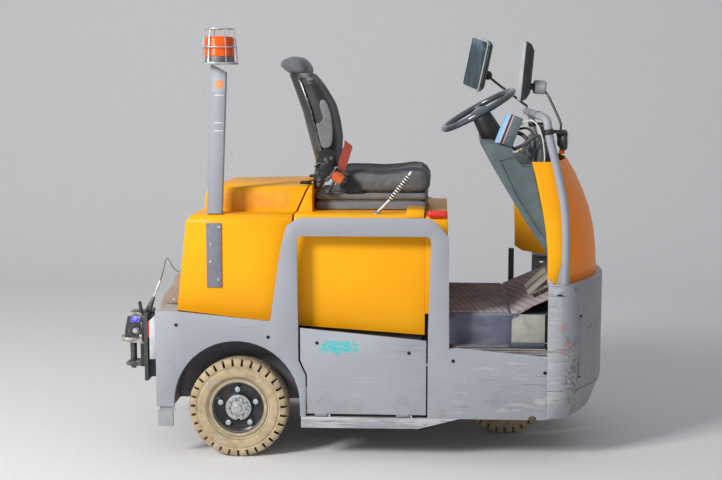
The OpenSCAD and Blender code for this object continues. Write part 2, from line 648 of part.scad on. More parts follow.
// Sections of the front cowl: height, rear edge on the right and on the left, corner and nose of the skin
COWL = [[748, 812, 726, 903, 1058], [860, 811, 726, 906, 1052], [950, 803, 722, 902, 1040],
    [1030, 790, 717, 896, 1020], [1105, 774, 722, 888, 990], [1180, 757, 731, 870, 955],
        [1245, 740, 740, 850, 915]];
cowl_t = 8;
function cowl_ring(s, z, t) =
    let (w = cowl_half - t, c = s[3] - t, n = s[4] - t, cut = t > 0 ? 30 : 0)
    concat(
        [[s[1] - cut, -w, z], [c - 30, -w, z], [c, -w + 8, z]],
        [for (k = [1:7]) let (y = -w + 8 + (2 * w - 16) * k / 8) [c + (n - c) * (1 - pow(y / (w - 8), 2)),
            y, z]],
        [[c, w - 8, z], [c - 30, w, z], [s[2] - cut, w, z]]);
module front_cowl() color(yellow) difference() {
    loft([for (s = COWL) cowl_ring(s, s[0] + seat_gap, 0)]);
    loft([for (i = [0:len(COWL) - 1])
        cowl_ring(COWL[i], COWL[i][0] + (i == 0 ? -5 : 0) + (i == len(COWL) - 1 ? 5 : 0), cowl_t)]);
    along_y(cowl_half - cowl_t - 1, cowl_half + 1)
        polygon([[700, 700], [700, 802], [726, 788], [763, 764], [866, bumper_z + seat_gap], [866, 700]]);
}

hoop_side = [[880, bumper_z + seat_gap], [881, 869], [880, 955], [875, 1035], [866, 1098], [850, 1171],
    [834, 1240], [818, 1300], [806, 1350]];
hoop_bend = 42;
hoop_half = concat([for (p = hoop_side) [p[0], -hoop_y, p[1]]],
    [for (a = [0:15:90]) [hoop_x + 28 * cos(a), -hoop_y + hoop_bend * (1 - cos(a)),
        hoop_z - hoop_bend * (1 - sin(a))]]);
hoop_path = concat(hoop_half, [for (i = [len(hoop_half) - 1:-1:0])
    [hoop_half[i][0], -hoop_half[i][1], hoop_half[i][2]]]);
module guard_hoop() color(grey) {
    bar(hoop_path, hoop_d / 2, [1, 0, 0], 12);
    translate([hoop_x, 160 - hoop_y, hoop_z]) rotate([90, 0, 0]) cylinder(d = hoop_d + 3, h = 8, $fn = 24);
    both_sides() along_y(-hoop_y - 3, -hoop_y + 3) polygon([[846, bumper_z + seat_gap],
        [884, bumper_z + seat_gap], [884, 806], [868, 860]]);
}
module side_post() color(dark) block(697, 723, inner_w - 60 + seat_gap, inner_w - 44, floor_z - 50, 777);

dash_half = cowl_half - cowl_t - seat_gap;
dash_back = 548;
dash_bend = 580;
dash_edge = 660;
dash_z = 1320;
// Height of the dashboard's top, level and then falling to the front
function dash_top(x) = dash_z - 0.275 * max(0, x - dash_bend);
// Space that the dashboard takes from the pieces on its top
module under_dash() along_y(-half_w, half_w) polygon([[500, dash_z + seat_gap],
    [dash_bend, dash_z + seat_gap],
    [dash_edge + 1, dash_top(dash_edge) + seat_gap], [670, 1268], [720, 1228], [720, 1100], [500, 1100]]);
module dashboard() color([0.36, 0.42, 0.44]) difference() {
    union() {
        along_y(-dash_half, dash_half) polygon([[dash_back, dash_z], [dash_bend, dash_z],
            [dash_edge, dash_top(dash_edge)],
            [668, 1268], [700, 1229], [742, 1236], [790, 1030], [812, 900], [808, 868], [737, 969],
                [672, 1074],
            [607, 1184], [557, 1276]]);
        along_y(-380, 380) polygon([[700, 1190], [700, 1228], [745, 1240], [761, 1289], [783, 1324],
            [802, 1328],
            [820, 1312], [843, 1242], [840, 1190]]);
    }
    both_sides() along_y(-dash_half - 1, -dash_half + 5) polygon([[612, 1249], [664, 1264], [698, 1226],
        [737, 1228],
        [784, 1026], [799, 930], [762, 980], [680, 1106]]);
}
// Terminal box: lower corner, tilt and turn, size
box_at = [617, 99 - hoop_y, dash_z - 4];
box_turn = [0, 21.6, 12];
box_size = [50, 110, 128];
module terminal_box() color([0.45, 0.47, 0.5]) {
    difference() {
        translate(box_at) rotate(box_turn) along_x(0, box_size[0]) translate([box_size[1], box_size[2]] / 2)
            polygon(rounded(box_size[1] / 2, box_size[2] / 2, 4, 1));
        under_dash();
    }
    along_y(-345, -318) polygon([[628, dash_top(628) + seat_gap], [654, dash_top(654) + seat_gap],
        [654, dash_top(654) + 16], [628, dash_top(628) + 18]]);
}
column_len = 190;
// Along the steering column, downwards from the wheel's hub
module on_column(d) translate(hand_hub) rotate([wheel_skew, 0, 0]) rotate([0, 180 - wheel_tilt, 0])
    translate([0, 0, d]) children();
module steering_column() color(dark) difference() {
    on_column(30 + seat_gap) cylinder(r1 = 42, r2 = 60, h = column_len);
    under_dash();
}
module steering_wheel() color(dark) translate(hand_hub) rotate([wheel_skew, 0, 0]) rotate([0, -wheel_tilt, 0]) {
    rim_r = (wheel_d - grip_d) / 2;
    rotate_extrude() translate([rim_r, 0]) circle(d = grip_d, $fn = 24);
    translate([0, 0, -30]) cylinder(r = 44, h = 34);
    for (a = [90, 210, 330]) rotate([0, 0, a]) translate([20, 0, -12]) rotate([0, 90, 0])
        cylinder(r = 9, h = rim_r - 24, $fn = 24);
}

mirror_right = [690, 62 - hoop_y, hoop_z + 181];
mirror_left = [528.5, hoop_y - 70, hoop_z + 222];
// Collar on the hoop that carries a lamp and the right mirror's rod, and its strap
collar_at = [803.5, -hoop_y, 1368];
collar_turn = -9;
strap_z = [1362, 1376];
strap_end = 868;
rod_r = 5;
module mirrors() color(dark) {
    translate(mirror_right) rotate([0, 5.1, -3.4]) {
        mirror_head();
        translate([44, 0, -mirror_h * 0.24]) rotate([0, 90, 0]) {
            cylinder(r = 14, h = 16, $fn = 24);
            translate([0, 0, 14]) cylinder(r1 = 23, r2 = 28, h = 6, $fn = 32);
            translate([0, 0, 20]) cylinder(r = 28, h = 40, $fn = 32);
            translate([0, 0, 60]) cylinder(r1 = 28, r2 = 22, h = 6, $fn = 32);
        }
    }
    translate(mirror_left) rotate([12.5, 5.6, 31.7]) {
        mirror_head();
        translate([44, 0, -mirror_h * 0.2]) rotate([0, 90, 0]) {
            cylinder(r = 14, h = 34, $fn = 24);
            translate([0, 0, 38]) sphere(r = 22, $fn = 32);
        }
    }
    bar([[786, 58 - hoop_y, 1536], [806, 46 - hoop_y, 1506], [845, 16 - hoop_y, 1420],
        [852, 9 - hoop_y, 1400],
        [852, 9 - hoop_y, strap_z[1] + seat_gap]], rod_r, [0, 1, 0], 8);
    bar([[590, hoop_y - 21, 1594], [640, hoop_y - 31, 1554], [716, hoop_y - 51, 1497], [hoop_x - 11, hoop_y - 64, 1462],
        [hoop_x, hoop_y - 64, hoop_z + hoop_d / 2 + 8],
            [hoop_x, hoop_y - 64, hoop_z + hoop_d / 2 + seat_gap]],
        rod_r + 1, [0, 1, 0], 8);
}
// Glass towards -X in a raised frame, and a tapered shell behind it
module mirror_head() difference() {
    loft([for (s = [[0, 0], [16, 0], [34, 10], [48, 34]])
        [for (p = rounded(mirror_w / 2 - s[1], mirror_h / 2 - s[1], 18)) [s[0], p[0], p[1]]]]);
    along_x(-1, 3) polygon(rounded(mirror_w / 2 - 7, mirror_h / 2 - 7, 12));
}
lamp_r = lamp_d / 2;
lamp_at = [856, 52 - hoop_y, 1333];
module head_lamps() color(dark) both_sides() {
    translate(lamp_at) rotate([0, 90, 0]) rotate_extrude() polygon([[0, -14], [20, -13], [lamp_r - 6, -2],
        [lamp_r - 2, 4], [lamp_r, 8], [lamp_r, 22], [lamp_r - 5, 24], [lamp_r - 14, 28], [0, 31]]);
    translate(collar_at) rotate([0, collar_turn, 0]) difference() {
        cylinder(r = hoop_d / 2 + 2, h = 22, center = true);
        cylinder(r = hoop_d / 2 + seat_gap, h = 24, center = true);
    }
    difference() {
        block(816, strap_end, 2 - hoop_y, 14 - hoop_y, strap_z[0], strap_z[1]);
        translate(collar_at) rotate([0, collar_turn, 0]) cylinder(r = 18, h = 60, center = true);
    }
    bar([[838, 8 - hoop_y, strap_z[0] + 6], [840, 22 - hoop_y, 1362], [846, 40 - hoop_y, 1346],
        lamp_at - [9, 0, 0]], 6, [0, 0, 1], 8);
}

module seat_hood() color(yellow) {
    difference() {
        union() {
            intersection() {
                along_y(-half_w, half_w) polygon([[lid_back, skirt_z + 27], [lid_back + 30, skirt_z],
                    [lid_front - 18, skirt_z], [lid_front, skirt_z + 47], [lid_front, shoulder_z],
                    [lid_back, shoulder_z]]);
                along_x(-400, 400) hood_section(lid_half, shoulder_z, 34, 0);
            }
            intersection() {
                along_y(-half_w, half_w) polygon([[lid_back, shoulder_z - hood_t],
                    [ridge_front, shoulder_z - hood_t],
                    [ridge_front, ridge_z], [ridge_x, ridge_z], [lid_back + 3, shoulder_z]]);
                along_x(-400, 400) hood_section(ridge_half, ridge_z, 36, 0);
            }
            lid_steps();
        }
        intersection() {
            along_y(-half_w, half_w) polygon([[lid_back - 1, 500], [lid_front + 1, 500],
                [lid_front + 1, shoulder_z - hood_t], [lid_back - 1, shoulder_z - hood_t]]);
            along_x(-400, 400) hood_section(lid_half, shoulder_z, 34, hood_t);
        }
        intersection() {
            along_y(-half_w, half_w) polygon([[lid_back + 14, 900], [ridge_front - hood_t, 900],
                [ridge_front - hood_t, ridge_z - hood_t], [ridge_x + 4, ridge_z - hood_t],
                [lid_back + 14, shoulder_z]]);
            along_x(-400, 400) hood_section(ridge_half, ridge_z, 36, hood_t);
        }
    }
    for (y = hinge_ys) {
        translate([lid_pin[0], y, lid_pin[1]]) rotate([90, 0, 0]) cylinder(r = 4, h = 60, center = true);
        block(lid_pin[0] - 5, lid_pin[0] + 5, y - 20, y + 20, ridge_z - 1, lid_pin[1] + 4);
    }
}
// Raised ledges at the lid's front corners, beside the seat
module lid_steps() difference() {
    along_x(231, lid_front) hood_section(lid_half - 4, shoulder_z + step_h, corner_r, 0);
    block(230, lid_front + 1, -ledge_in, ledge_in, 399, shoulder_z + step_h + 1);
    block(230, lid_front + 1, -lid_half, lid_half, 399, shoulder_z - 12);
}
ledge_in = seat_w / 2 + 12;
step_h = 20;
// Fixed panels behind the windows, between the rear hood and the knee panel
module hood_sides() color(yellow) both_sides() along_y(-lid_half, -lid_half + hood_t)
    polygon([[hood_front + seat_gap, 557], [knee_x - seat_gap, 520], [knee_x - seat_gap, skirt_z - lid_clear],
        [hood_front + seat_gap, skirt_z - lid_clear]]);
base_back = -166;
base_front = 316;
module base_layer(inset, z0, z1) along_z(z0, z1) translate([(base_back + base_front) / 2, 0])
    polygon(rounded((base_front - base_back) / 2 - inset, seat_w / 2 - 10 - inset, 26 - inset / 2, 4));
module seat_base() color([0.3, 0.31, 0.33]) {
    base_z = shoulder_z + seat_gap;
    layer = (base_top - base_z) * 0.44;
    base_layer(14, base_z, base_top);
    base_layer(0, base_z + 3, base_z + layer);
    base_layer(0, base_top - layer + 4, base_top - 2);
}
// Rows of the cushion: place, drop of the top below the cushion's height, rise of the underside, inset of the side
CUSHION = [[-84, 36, 8, 44], [-70, 25, 1, 26], [-30, 24, 0, 14], [40, 27, 0, 8], [120, 29, 0, 6],
    [190, 21, 0, 6],
    [250, 8, 0, 10], [290, 3, 2, 18], [316, 22, 10, 32], [329, 48, 26, 52]];
module seat_cushion() color([0.25, 0.26, 0.28]) loft([for (s = CUSHION)
    let (top = cushion_z - s[1], bottom = base_top + seat_gap + s[2], half = (top - bottom) / 2)
    [for (p = rounded(seat_w / 2 - s[3], half, min(24, half - 2))) [s[0], p[0], bottom + half + p[1]]]]);
// Rows of the backrest and its head pad: rear and front point of the section, inset of the side
BACK = [[-158, 1176, -112, 1176, 62], [-166, 1206, -88, 1216, 36], [-170, 1246, -76, 1268, 28],
    [-185, 1300, -69, 1326, 20], [-204, 1372, -74, 1400, 17], [-223, 1444, -91, 1476, 21],
    [-247, 1508, -122, 1534, 34], [-268, 1562, -154, 1578, 50], [-279, 1592, -172, 1600, 64],
    [-276, 1599, -178, 1603, 76], [-286, 1606, -178, 1608, 70]];
HEAD = [[-304, 46, -180, 52, 72], [-326, 36, -182, 42, 74], [-322, 20, -188, 24, 82], [-302, 6, -206, 9, 102],
    [-276, 0, -226, 2, 134]];
module seat_back() color([0.25, 0.26, 0.28]) {
    rows = concat(BACK, [for (s = HEAD) [s[0], back_z - s[1], s[2], back_z - s[3], s[4]]]);
    loft([for (s = rows)
        let (rear = [s[0], 0, s[1]], front = [s[2], 0, s[3]], ahead = unit(front - rear),
            half = norm(front - rear) / 2)
        [for (p = rounded(seat_w / 2 - s[4], half, min(34, half - 2), 4))
            (rear + front) / 2 - [0, p[0], 0] + p[1] * ahead]]);
    both_sides() along_y(-seat_w / 2 + 32, -seat_w / 2 + 44) polygon([[-166, base_top + seat_gap],
        [-100, base_top + seat_gap], [-88, 1150], [-94, 1200], [-118, 1226], [-146, 1222], [-162, 1180]]);
    for (side = [-1, 1]) along_y(side * (seat_w / 2 - 66) - 24, side * (seat_w / 2 - 66) + 24)
        polygon([[-150, 1150], [-118, 1150], [-118, 1190], [-150, 1190]]);
}
belt_y = -seat_w / 2 - 24;
spool_at = [-67, belt_y, base_top + 72];
spool_turn = 126;
module belt_retractors() color([0.8, 0.25, 0.1]) {
    block(-128, -90, belt_y - 17, -seat_w / 2 + 28, base_top + seat_gap, base_top + 5);
    along_y(belt_y - 12, belt_y + 12) polygon([[-124, base_top + 4], [-124, base_top + 8],
        [-96, base_top + 8],
        [-92, base_top + 62], [-74, base_top + 58], [-80, base_top + 4]]);
    translate(spool_at) rotate([0, spool_turn, 0]) {
        cylinder(r = 24, h = 56, center = true);
        for (z = [-29, 26]) translate([-32, -25, z]) cube([62, 50, 3]);
        translate([-34, -25, -29]) cube([3, 50, 58]);
        translate([0, 0, 28]) cylinder(r = 22, h = 14);
    }
    along_y(belt_y - 1.5, belt_y + 1.5) polygon([[-66, base_top + 122], [-73, base_top + 101],
        [-38, base_top + 76], [-33, base_top + 96], [-1, base_top + 192],
        [-12, base_top + 204], [-31, base_top + 220]]);
}
module parking_lever() color(steel) {
    foot = [105, -384, shoulder_z + seat_gap];
    bar([foot + [3, 0, 6], foot + [36, 0, 38], foot + [64, 1, 69], foot + [65, 1, 70], foot + [92, 2, 100],
        foot + [138, 4, 166], foot + [139, 4, 168], foot + [145, 4, 176]], [6, 6, 6, 9, 9, 9, 6, 5],
            [0, 1, 0], 12);
    translate(foot) cylinder(r = 14, h = 8);
}

side_plate_right();
side_plate_left();
arch_liners();
chassis_frame();
rear_wall();
tail_console();
lamp_housings();
tail_lenses();
rear_hood();
pole_bracket();
beacon_pole();
beacon_base();
beacon_lens();
beacon_cage();
coupling_plate();
tow_coupling();
coupling_pin();
release_rod();
door_rails();
battery_block();
rear_axle();
drive_motor();
platform();
floor_mat();
toe_board();
pedals();
knee_panel();
stop_handle();
front_bumper();
front_skirt();
front_cowl();
guard_hoop();
side_post();
dashboard();
terminal_box();
steering_column();
mirrors();
head_lamps();
steering_wheel();
steer_fork();
front_rim();
front_tyre();
rim_right();
tyre_right();
hub_right();
rim_left();
tyre_left();
hub_left();
hood_sides();
seat_hood();
seat_base();
seat_cushion();
seat_back();
belt_retractors();
parking_lever();
battery_door_right();
battery_door_left();
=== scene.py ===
"""Looks of the airport baggage tug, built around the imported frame. Metres, +X forward, +Z up."""

import math

import bmesh
import bpy
from mathutils import Matrix, Vector


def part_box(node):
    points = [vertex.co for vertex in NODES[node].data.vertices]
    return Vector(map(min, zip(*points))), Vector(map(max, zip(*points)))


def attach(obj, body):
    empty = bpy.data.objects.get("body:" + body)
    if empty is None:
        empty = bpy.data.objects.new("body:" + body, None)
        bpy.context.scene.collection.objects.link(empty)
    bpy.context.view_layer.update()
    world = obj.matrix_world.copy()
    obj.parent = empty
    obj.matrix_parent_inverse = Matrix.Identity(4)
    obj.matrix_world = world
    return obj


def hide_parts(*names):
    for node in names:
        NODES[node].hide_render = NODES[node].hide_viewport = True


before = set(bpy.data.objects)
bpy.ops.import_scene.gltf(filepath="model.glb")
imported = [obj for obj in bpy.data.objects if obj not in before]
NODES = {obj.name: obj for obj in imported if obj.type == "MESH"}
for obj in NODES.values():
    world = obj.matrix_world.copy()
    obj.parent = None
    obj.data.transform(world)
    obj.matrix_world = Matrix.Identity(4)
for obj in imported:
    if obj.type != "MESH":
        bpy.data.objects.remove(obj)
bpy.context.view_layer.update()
MM = 0.001

# Colours as linear values
GREY = (0.345, 0.362, 0.405)
YELLOW = (0.975, 0.455, 0.008)
STEEL = (0.62, 0.62, 0.61)

# Places of the frame's wheels
REAR_AXLE_X = -0.471
FRONT_AXLE_X = 0.665
TYRE_R = 0.209

SIDES = ((-1, "right"), (1, "left"))  # sign of Y and name
PADDING_STEPS = 14  # frames of cloth simulation


# ---------- camera, floor and light ----------

PHOTO_W = 722
FOCAL_PX = 1300
CAMERA_AT = Vector((0.369, -5.767, 1.575))
CAMERA_DIR = Vector((-0.0606, 0.9907, -0.1221))


def add_camera():
    data = bpy.data.cameras.new("camera")
    data.sensor_width = 36
    data.lens = FOCAL_PX / PHOTO_W * data.sensor_width
    data.clip_end = 100
    camera = bpy.data.objects.new("camera", data)
    camera.location = CAMERA_AT
    camera.rotation_euler = CAMERA_DIR.to_track_quat("-Z", "Y").to_euler()
    bpy.context.scene.collection.objects.link(camera)
    bpy.context.scene.camera = camera


def add_lamp(name, at, aim, size, power, color):
    data = bpy.data.lights.new(name, "AREA")
    data.size = size
    data.energy = power
    data.color = color
    lamp = bpy.data.objects.new(name, data)
    lamp.location = at
    lamp.rotation_euler = (Vector(aim) - Vector(at)).to_track_quat("-Z", "Y").to_euler()
    bpy.context.scene.collection.objects.link(lamp)


def add_stage():
    """A pale floor that sweeps up into a backdrop."""
    near, depth, height, radius, half = -14.0, 7.0, 9.0, 3.0, 24.0
    steps = 12
    line = [(near, 0.0), (depth - radius, 0.0)]
    for i in range(1, steps + 1):
        a = math.radians(90 * i / steps)
        line.append((depth - radius + radius * math.sin(a), radius * (1 - math.cos(a))))
    line.append((depth, height))
    verts = [(x, y, z) for y, z in line for x in (-half, half)]
    faces = [(2 * i, 2 * i + 1, 2 * i + 3, 2 * i + 2) for i in range(len(line) - 1)]
    floor = mesh_object("floor", verts, faces)
    s = Shader("floor")
    floor.data.materials.append(s.set(s.tone((0.72, 0.72, 0.73), (0.79, 0.79, 0.80), 60, 4), 0.9).material)
    smooth(floor)


def add_world():
    world = bpy.data.worlds.new("studio")
    bpy.context.scene.world = world
    world.use_nodes = True
    background = world.node_tree.nodes["Background"]
    background.inputs["Color"].default_value = (0.90, 0.92, 0.96, 1)
    background.inputs["Strength"].default_value = 0.46


# ---------- materials ----------

class Shader:
    """One procedural material: nodes are added by short calls that return sockets."""

    def __init__(self, name):
        self.material = bpy.data.materials.new(name)
        self.material.use_nodes = True
        self.tree = self.material.node_tree
        self.bsdf = self.tree.nodes["Principled BSDF"]
        self._object = None

    def node(self, kind, inputs=(), **attributes):
        made = self.tree.nodes.new(kind)
        for key, value in attributes.items():
            setattr(made, key, value)
        for key, value in dict(inputs).items():
            self.feed(made.inputs[key], value)
        return made

    def feed(self, socket, value):
        if isinstance(value, bpy.types.NodeSocket):
            self.tree.links.new(value, socket)
        elif isinstance(value, tuple) and socket.type == "RGBA":
            socket.default_value = (*value, 1)
        else:
            socket.default_value = value

    def place(self, scale=(1, 1, 1)):
        """Object coordinates, which are those of the whole tug at rest in metres, stretched by scale."""
        if self._object is None:
            self._object = self.node("ShaderNodeTexCoord").outputs["Object"]
        return self.node("ShaderNodeMapping", {"Vector": self._object, "Scale": scale}).outputs[0]

    def axis(self, name):
        return self.node("ShaderNodeSeparateXYZ", {"Vector": self.place()}).outputs[name]

    def along(self, origin, direction):
        """Distance from origin along direction, in metres."""
        offset = self.node("ShaderNodeVectorMath", {0: self.place(), 1: tuple(origin)}, operation="SUBTRACT")
        made = self.node("ShaderNodeVectorMath", {0: offset.outputs[0], 1: tuple(direction)}, operation="DOT_PRODUCT")
        return made.outputs["Value"]

    def away(self, x, z):
        """Distance from the line through x and z that runs across the tug."""
        here = self.node("ShaderNodeCombineXYZ", {"X": self.axis("X"), "Z": self.axis("Z")}).outputs[0]
        line = self.node("ShaderNodeCombineXYZ", {"X": x, "Z": z}).outputs[0]
        return self.node("ShaderNodeVectorMath", {0: here, 1: line}, operation="DISTANCE").outputs["Value"]

    def wheel_radius(self):
        """Distance from the axle of the wheel that the surface belongs to."""
        front = self.step(self.axis("X"), -0.01, 0.01)
        return self.away(self.blend(front, REAR_AXLE_X, FRONT_AXLE_X), TYRE_R)

    def facing(self, name):
        """Component of the surface's own normal along X, Y or Z."""
        normal = self.node("ShaderNodeTexCoord").outputs["Normal"]
        return self.node("ShaderNodeSeparateXYZ", {"Vector": normal}).outputs[name]

    def zone(self, soft, **bounds):
        """1 inside a box whose limits are given as X=(low, high) and so on, in metres."""
        return self.times(*(self.band(self.axis(name), low, high, soft) for name, (low, high) in bounds.items()))

    def noise(self, scale, detail=3, stretch=(1, 1, 1), roughness=0.55, distortion=0.0):
        made = self.node("ShaderNodeTexNoise", {"Vector": self.place(stretch), "Scale": scale, "Detail": detail,
                                                "Roughness": roughness, "Distortion": distortion})
        return made.outputs["Fac"]

    def waves(self, scale, distortion, direction, at=None):
        """Even bands that run along the axes at a scale."""
        made = self.node("ShaderNodeTexWave", {"Vector": at or self.place(), "Scale": scale, "Distortion": distortion},
                         bands_direction=direction)
        return made.outputs["Fac"]

    def ramp(self, value, stops):
        made = self.node("ShaderNodeValToRGB", {"Fac": value})
        elements = made.color_ramp.elements
        while len(elements) < len(stops):
            elements.new(0.5)
        for element, (position, color) in zip(elements, stops):
            element.position = position
            element.color = (*color, 1)
        return made.outputs["Color"]

    def tone(self, dark, pale, *noise, **more):
        """A colour that wanders between two. What follows the colours goes to noise."""
        return self.ramp(self.noise(*noise, **more), [(0.3, dark), (0.7, pale)])

    def step(self, value, low, high):
        """0 below low, 1 above high."""
        return self.node("ShaderNodeMapRange", {"Value": value, "From Min": low, "From Max": high},
                         interpolation_type="SMOOTHSTEP").outputs["Result"]

    def spots(self, low, high, *noise, **more):
        """Patches: 1 where the noise is above high, 0 where it is below low."""
        return self.step(self.noise(*noise, **more), low, high)

    def band(self, value, low, high, soft):
        """1 from low to high, with soft ends."""
        return self.times(self.step(value, low - soft, low + soft), self.step(value, high + soft, high - soft))

    def math(self, operation, a, b=0.0):
        return self.node("ShaderNodeMath", {0: a, 1: b}, operation=operation,
                         use_clamp=operation in ("ADD", "SUBTRACT")).outputs[0]

    def times(self, *values):
        out = values[0]
        for value in values[1:]:
            out = self.math("MULTIPLY", out, value)
        return out

    def mix(self, factor, a, b):
        """From colour a to colour b."""
        return self.node("ShaderNodeMix", {0: factor, 6: a, 7: b}, data_type="RGBA").outputs[2]

    def over(self, under, tint, *factors):
        """A coat of tint over a colour, as thick as the product of the factors."""
        return self.mix(self.times(*factors), under, tint)

    def blend(self, factor, a, b):
        """From number a to number b."""
        return self.node("ShaderNodeMix", {0: factor, 2: a, 3: b}, data_type="FLOAT").outputs[0]

    def edges(self, radius):
        """1 on sharp edges, from the bevelled normal."""
        soft = self.node("ShaderNodeBevel", {"Radius": radius}, samples=4).outputs["Normal"]
        hard = self.node("ShaderNodeNewGeometry").outputs["Normal"]
        dot = self.node("ShaderNodeVectorMath", {0: soft, 1: hard}, operation="DOT_PRODUCT")
        return self.step(dot.outputs["Value"], 0.985, 0.9)

    def up(self):
        """1 on faces that look upwards, where dust lies."""
        normal = self.node("ShaderNodeNewGeometry").outputs["Normal"]
        return self.step(self.node("ShaderNodeSeparateXYZ", {"Vector": normal}).outputs["Z"], 0.35, 0.95)

    def bump(self, height, strength, distance, normal=None):
        inputs = {"Height": height, "Strength": strength, "Distance": distance}
        if normal is not None:
            inputs["Normal"] = normal
        return self.node("ShaderNodeBump", inputs).outputs["Normal"]

    def grain(self, strength, distance, *noise):
        """A bump from noise."""
        return self.bump(self.noise(*noise), strength, distance)

    def set(self, color=None, roughness=None, metallic=None, normal=None, **more):
        for key, value in (("Base Color", color), ("Roughness", roughness), ("Metallic", metallic),
                           ("Normal", normal)):
            if value is not None:
                self.feed(self.bsdf.inputs[key], value)
        for key, value in more.items():
            self.feed(self.bsdf.inputs[key.replace("_", " ")], value)
        return self


def shade(color, factor):
    """A darker or paler colour."""
    return tuple(min(1.0, c * factor) for c in color)


def bumper_wear(s, color, rust):
    """Side painted paler, as lit, with pale scuffs along it, rust on its corner and painted shade on its front."""
    # Painted light: the side is made paler, as where light falls on it.
    side = s.step(s.axis("X"), 0.935, 0.88)
    color = s.over(color, (0.47, 0.495, 0.53), side, 0.35)
    patches = s.spots(0.44, 0.56, 4.5, 4, (1, 1, 1.6))
    white = s.times(s.spots(0.53, 0.60, 16, 7, (0.4, 0.4, 7), 0.72), side, patches, 0.65)
    color = s.mix(white, color, (0.62, 0.64, 0.66))
    dark = s.times(s.spots(0.62, 0.66, 11, 5, (0.6, 0.6, 14)), s.step(s.axis("X"), 0.95, 0.90), 0.7)
    color = s.mix(dark, color, (0.13, 0.12, 0.13))
    # Painted shade: faces that look forward are darkened.
    front = s.step(s.facing("X"), 0.25, 0.85)
    color = s.over(color, (0.205, 0.205, 0.22), front, 0.5)
    corner = s.times(s.band(s.axis("X"), 0.885, 0.945, 0.022), s.spots(0.40, 0.56, 9, 3, (1, 1, 0.5)))
    speckle = s.spots(0.50, 0.56, 75, 7, roughness=0.7)
    color = s.over(color, (0.15, 0.115, 0.095), corner, speckle, rust)
    low = s.zone(0.03, X=(0.86, 0.93), Z=(0.46, 0.60))
    return s.over(color, (0.50, 0.20, 0.11), low, s.spots(0.52, 0.60, 26, 6, roughness=0.65), rust)


def grey_paint(name, dirt=1.0, rust=0.0):
    """Silver-grey machine paint with scrapes along the sides, chipped edges and road dirt."""
    s = Shader(name)
    base = s.tone(shade(GREY, 0.95), shade(GREY, 1.05), 3.0, 4)
    low = s.step(s.axis("Z"), 0.62, 0.30)
    front = s.step(s.axis("X"), 0.25, 0.75)
    scraped = s.times(low, front, s.spots(0.56, 0.62, 7, 7, (1, 1, 6), 0.7))
    color = s.over(base, (0.66, 0.66, 0.64), scraped, 0.45 * dirt)
    lines = s.spots(0.615, 0.655, 9, 4, (0.5, 0.5, 26), 0.6)
    where = s.spots(0.46, 0.58, 3.3, 2, (1, 1, 3))
    color = s.over(color, (0.12, 0.115, 0.12), lines, where, s.math("ADD", s.times(low, 0.7), 0.15), dirt)
    grime = s.times(s.spots(0.45, 0.75, 14, 5), s.step(s.axis("Z"), 0.42, 0.16), 0.45 * dirt)
    color = s.mix(grime, color, (0.24, 0.20, 0.16))
    if rust:
        color = bumper_wear(s, color, rust)
    chips = s.times(s.edges(0.004), s.spots(0.48, 0.60, 45, 4))
    color = s.over(color, (0.11, 0.09, 0.08), chips, 0.85)
    dust = s.times(s.up(), s.spots(0.30, 0.75, 11, 4), 0.55)
    color = s.mix(dust, color, (0.47, 0.43, 0.37))
    normal = s.bump(s.times(lines, where), 0.25, 0.0006, s.grain(0.06, 0.0006, 260, 2))
    return s.set(color, s.blend(s.noise(8, 4), 0.38, 0.56), 0.0, normal).material


def reopened(material):
    """A Shader that goes on with a finished material, and the colour that it has so far."""
    s = Shader.__new__(Shader)
    s.material, s.tree, s._object = material, material.node_tree, None
    s.bsdf = s.tree.nodes["Principled BSDF"]
    return s, s.bsdf.inputs["Base Color"].links[0].from_socket


def door_paint():
    """The grey paint with a smear of cyan spray over it."""
    s, under = reopened(grey_paint("door_paint", 0.9))
    pale = s.spots(0.60, 0.65, 13, 5, (0.35, 1, 22), 0.65)
    under = s.over(under, (0.58, 0.585, 0.60), pale, s.spots(0.40, 0.62, 5, 3), 0.5)
    ragged = s.times(s.math("SUBTRACT", s.noise(26, 5, (1, 1, 2.5)), 0.5), 0.12)
    x = s.node("ShaderNodeMath", operation="ADD", inputs={0: s.axis("X"), 1: ragged}).outputs[0]
    z = s.node("ShaderNodeMath", operation="ADD", inputs={0: s.axis("Z"), 1: ragged}).outputs[0]
    patch = s.times(s.band(x, -0.115, 0.035, 0.006), s.band(z, 0.458, 0.505, 0.005))
    thin = s.spots(0.36, 0.56, 40, 5, (1, 1, 5))
    s.set(s.over(under, (0.03, 0.46, 0.47), patch, thin, s.band(s.axis("Y"), -0.52, -0.49, 0.001)))
    return s.material


def rail_paint():
    """The grey paint under the doors, rubbed pale by boots."""
    s, under = reopened(grey_paint("rail_paint", 1.0))
    rubbed = s.times(s.spots(0.44, 0.58, 12, 6, (0.35, 1, 6), 0.65), 0.7)
    color = s.mix(rubbed, under, (0.60, 0.585, 0.60))
    dark = s.times(s.spots(0.62, 0.66, 17, 5, (0.5, 1, 9)), 0.75)
    return s.set(s.mix(dark, color, (0.12, 0.10, 0.10))).material


def pole_paint():
    """The grey paint of the pole, with its bare round orange sticker and pale lines."""
    s, under = reopened(grey_paint("pole_paint", 0.5))
    away = s.away(-0.543, 1.558)
    front = s.step(s.axis("Y"), -0.4235, -0.4245)
    paper = s.times(s.band(s.axis("X"), -0.573, -0.513, 0.0008), s.zone(0.0006, Z=(1.528, 1.588)), front, 0.5)
    color = s.mix(paper, under, (0.42, 0.45, 0.52))
    color = s.over(color, (0.88, 0.27, 0.07), s.step(away, 0.0178, 0.0168), front)
    color = s.over(color, (0.80, 0.36, 0.16), s.step(away, 0.0085, 0.0075), front, 0.6)
    for x, z in ((-0.543, 1.5135), (-0.547, 1.400), (-0.547, 1.367)):
        line = s.zone(0.0006, X=(x - 0.018, x + 0.018), Z=(z - 0.0018, z + 0.0018))
        color = s.over(color, (0.80, 0.82, 0.84), line, front, 0.8)
    return s.set(color).material


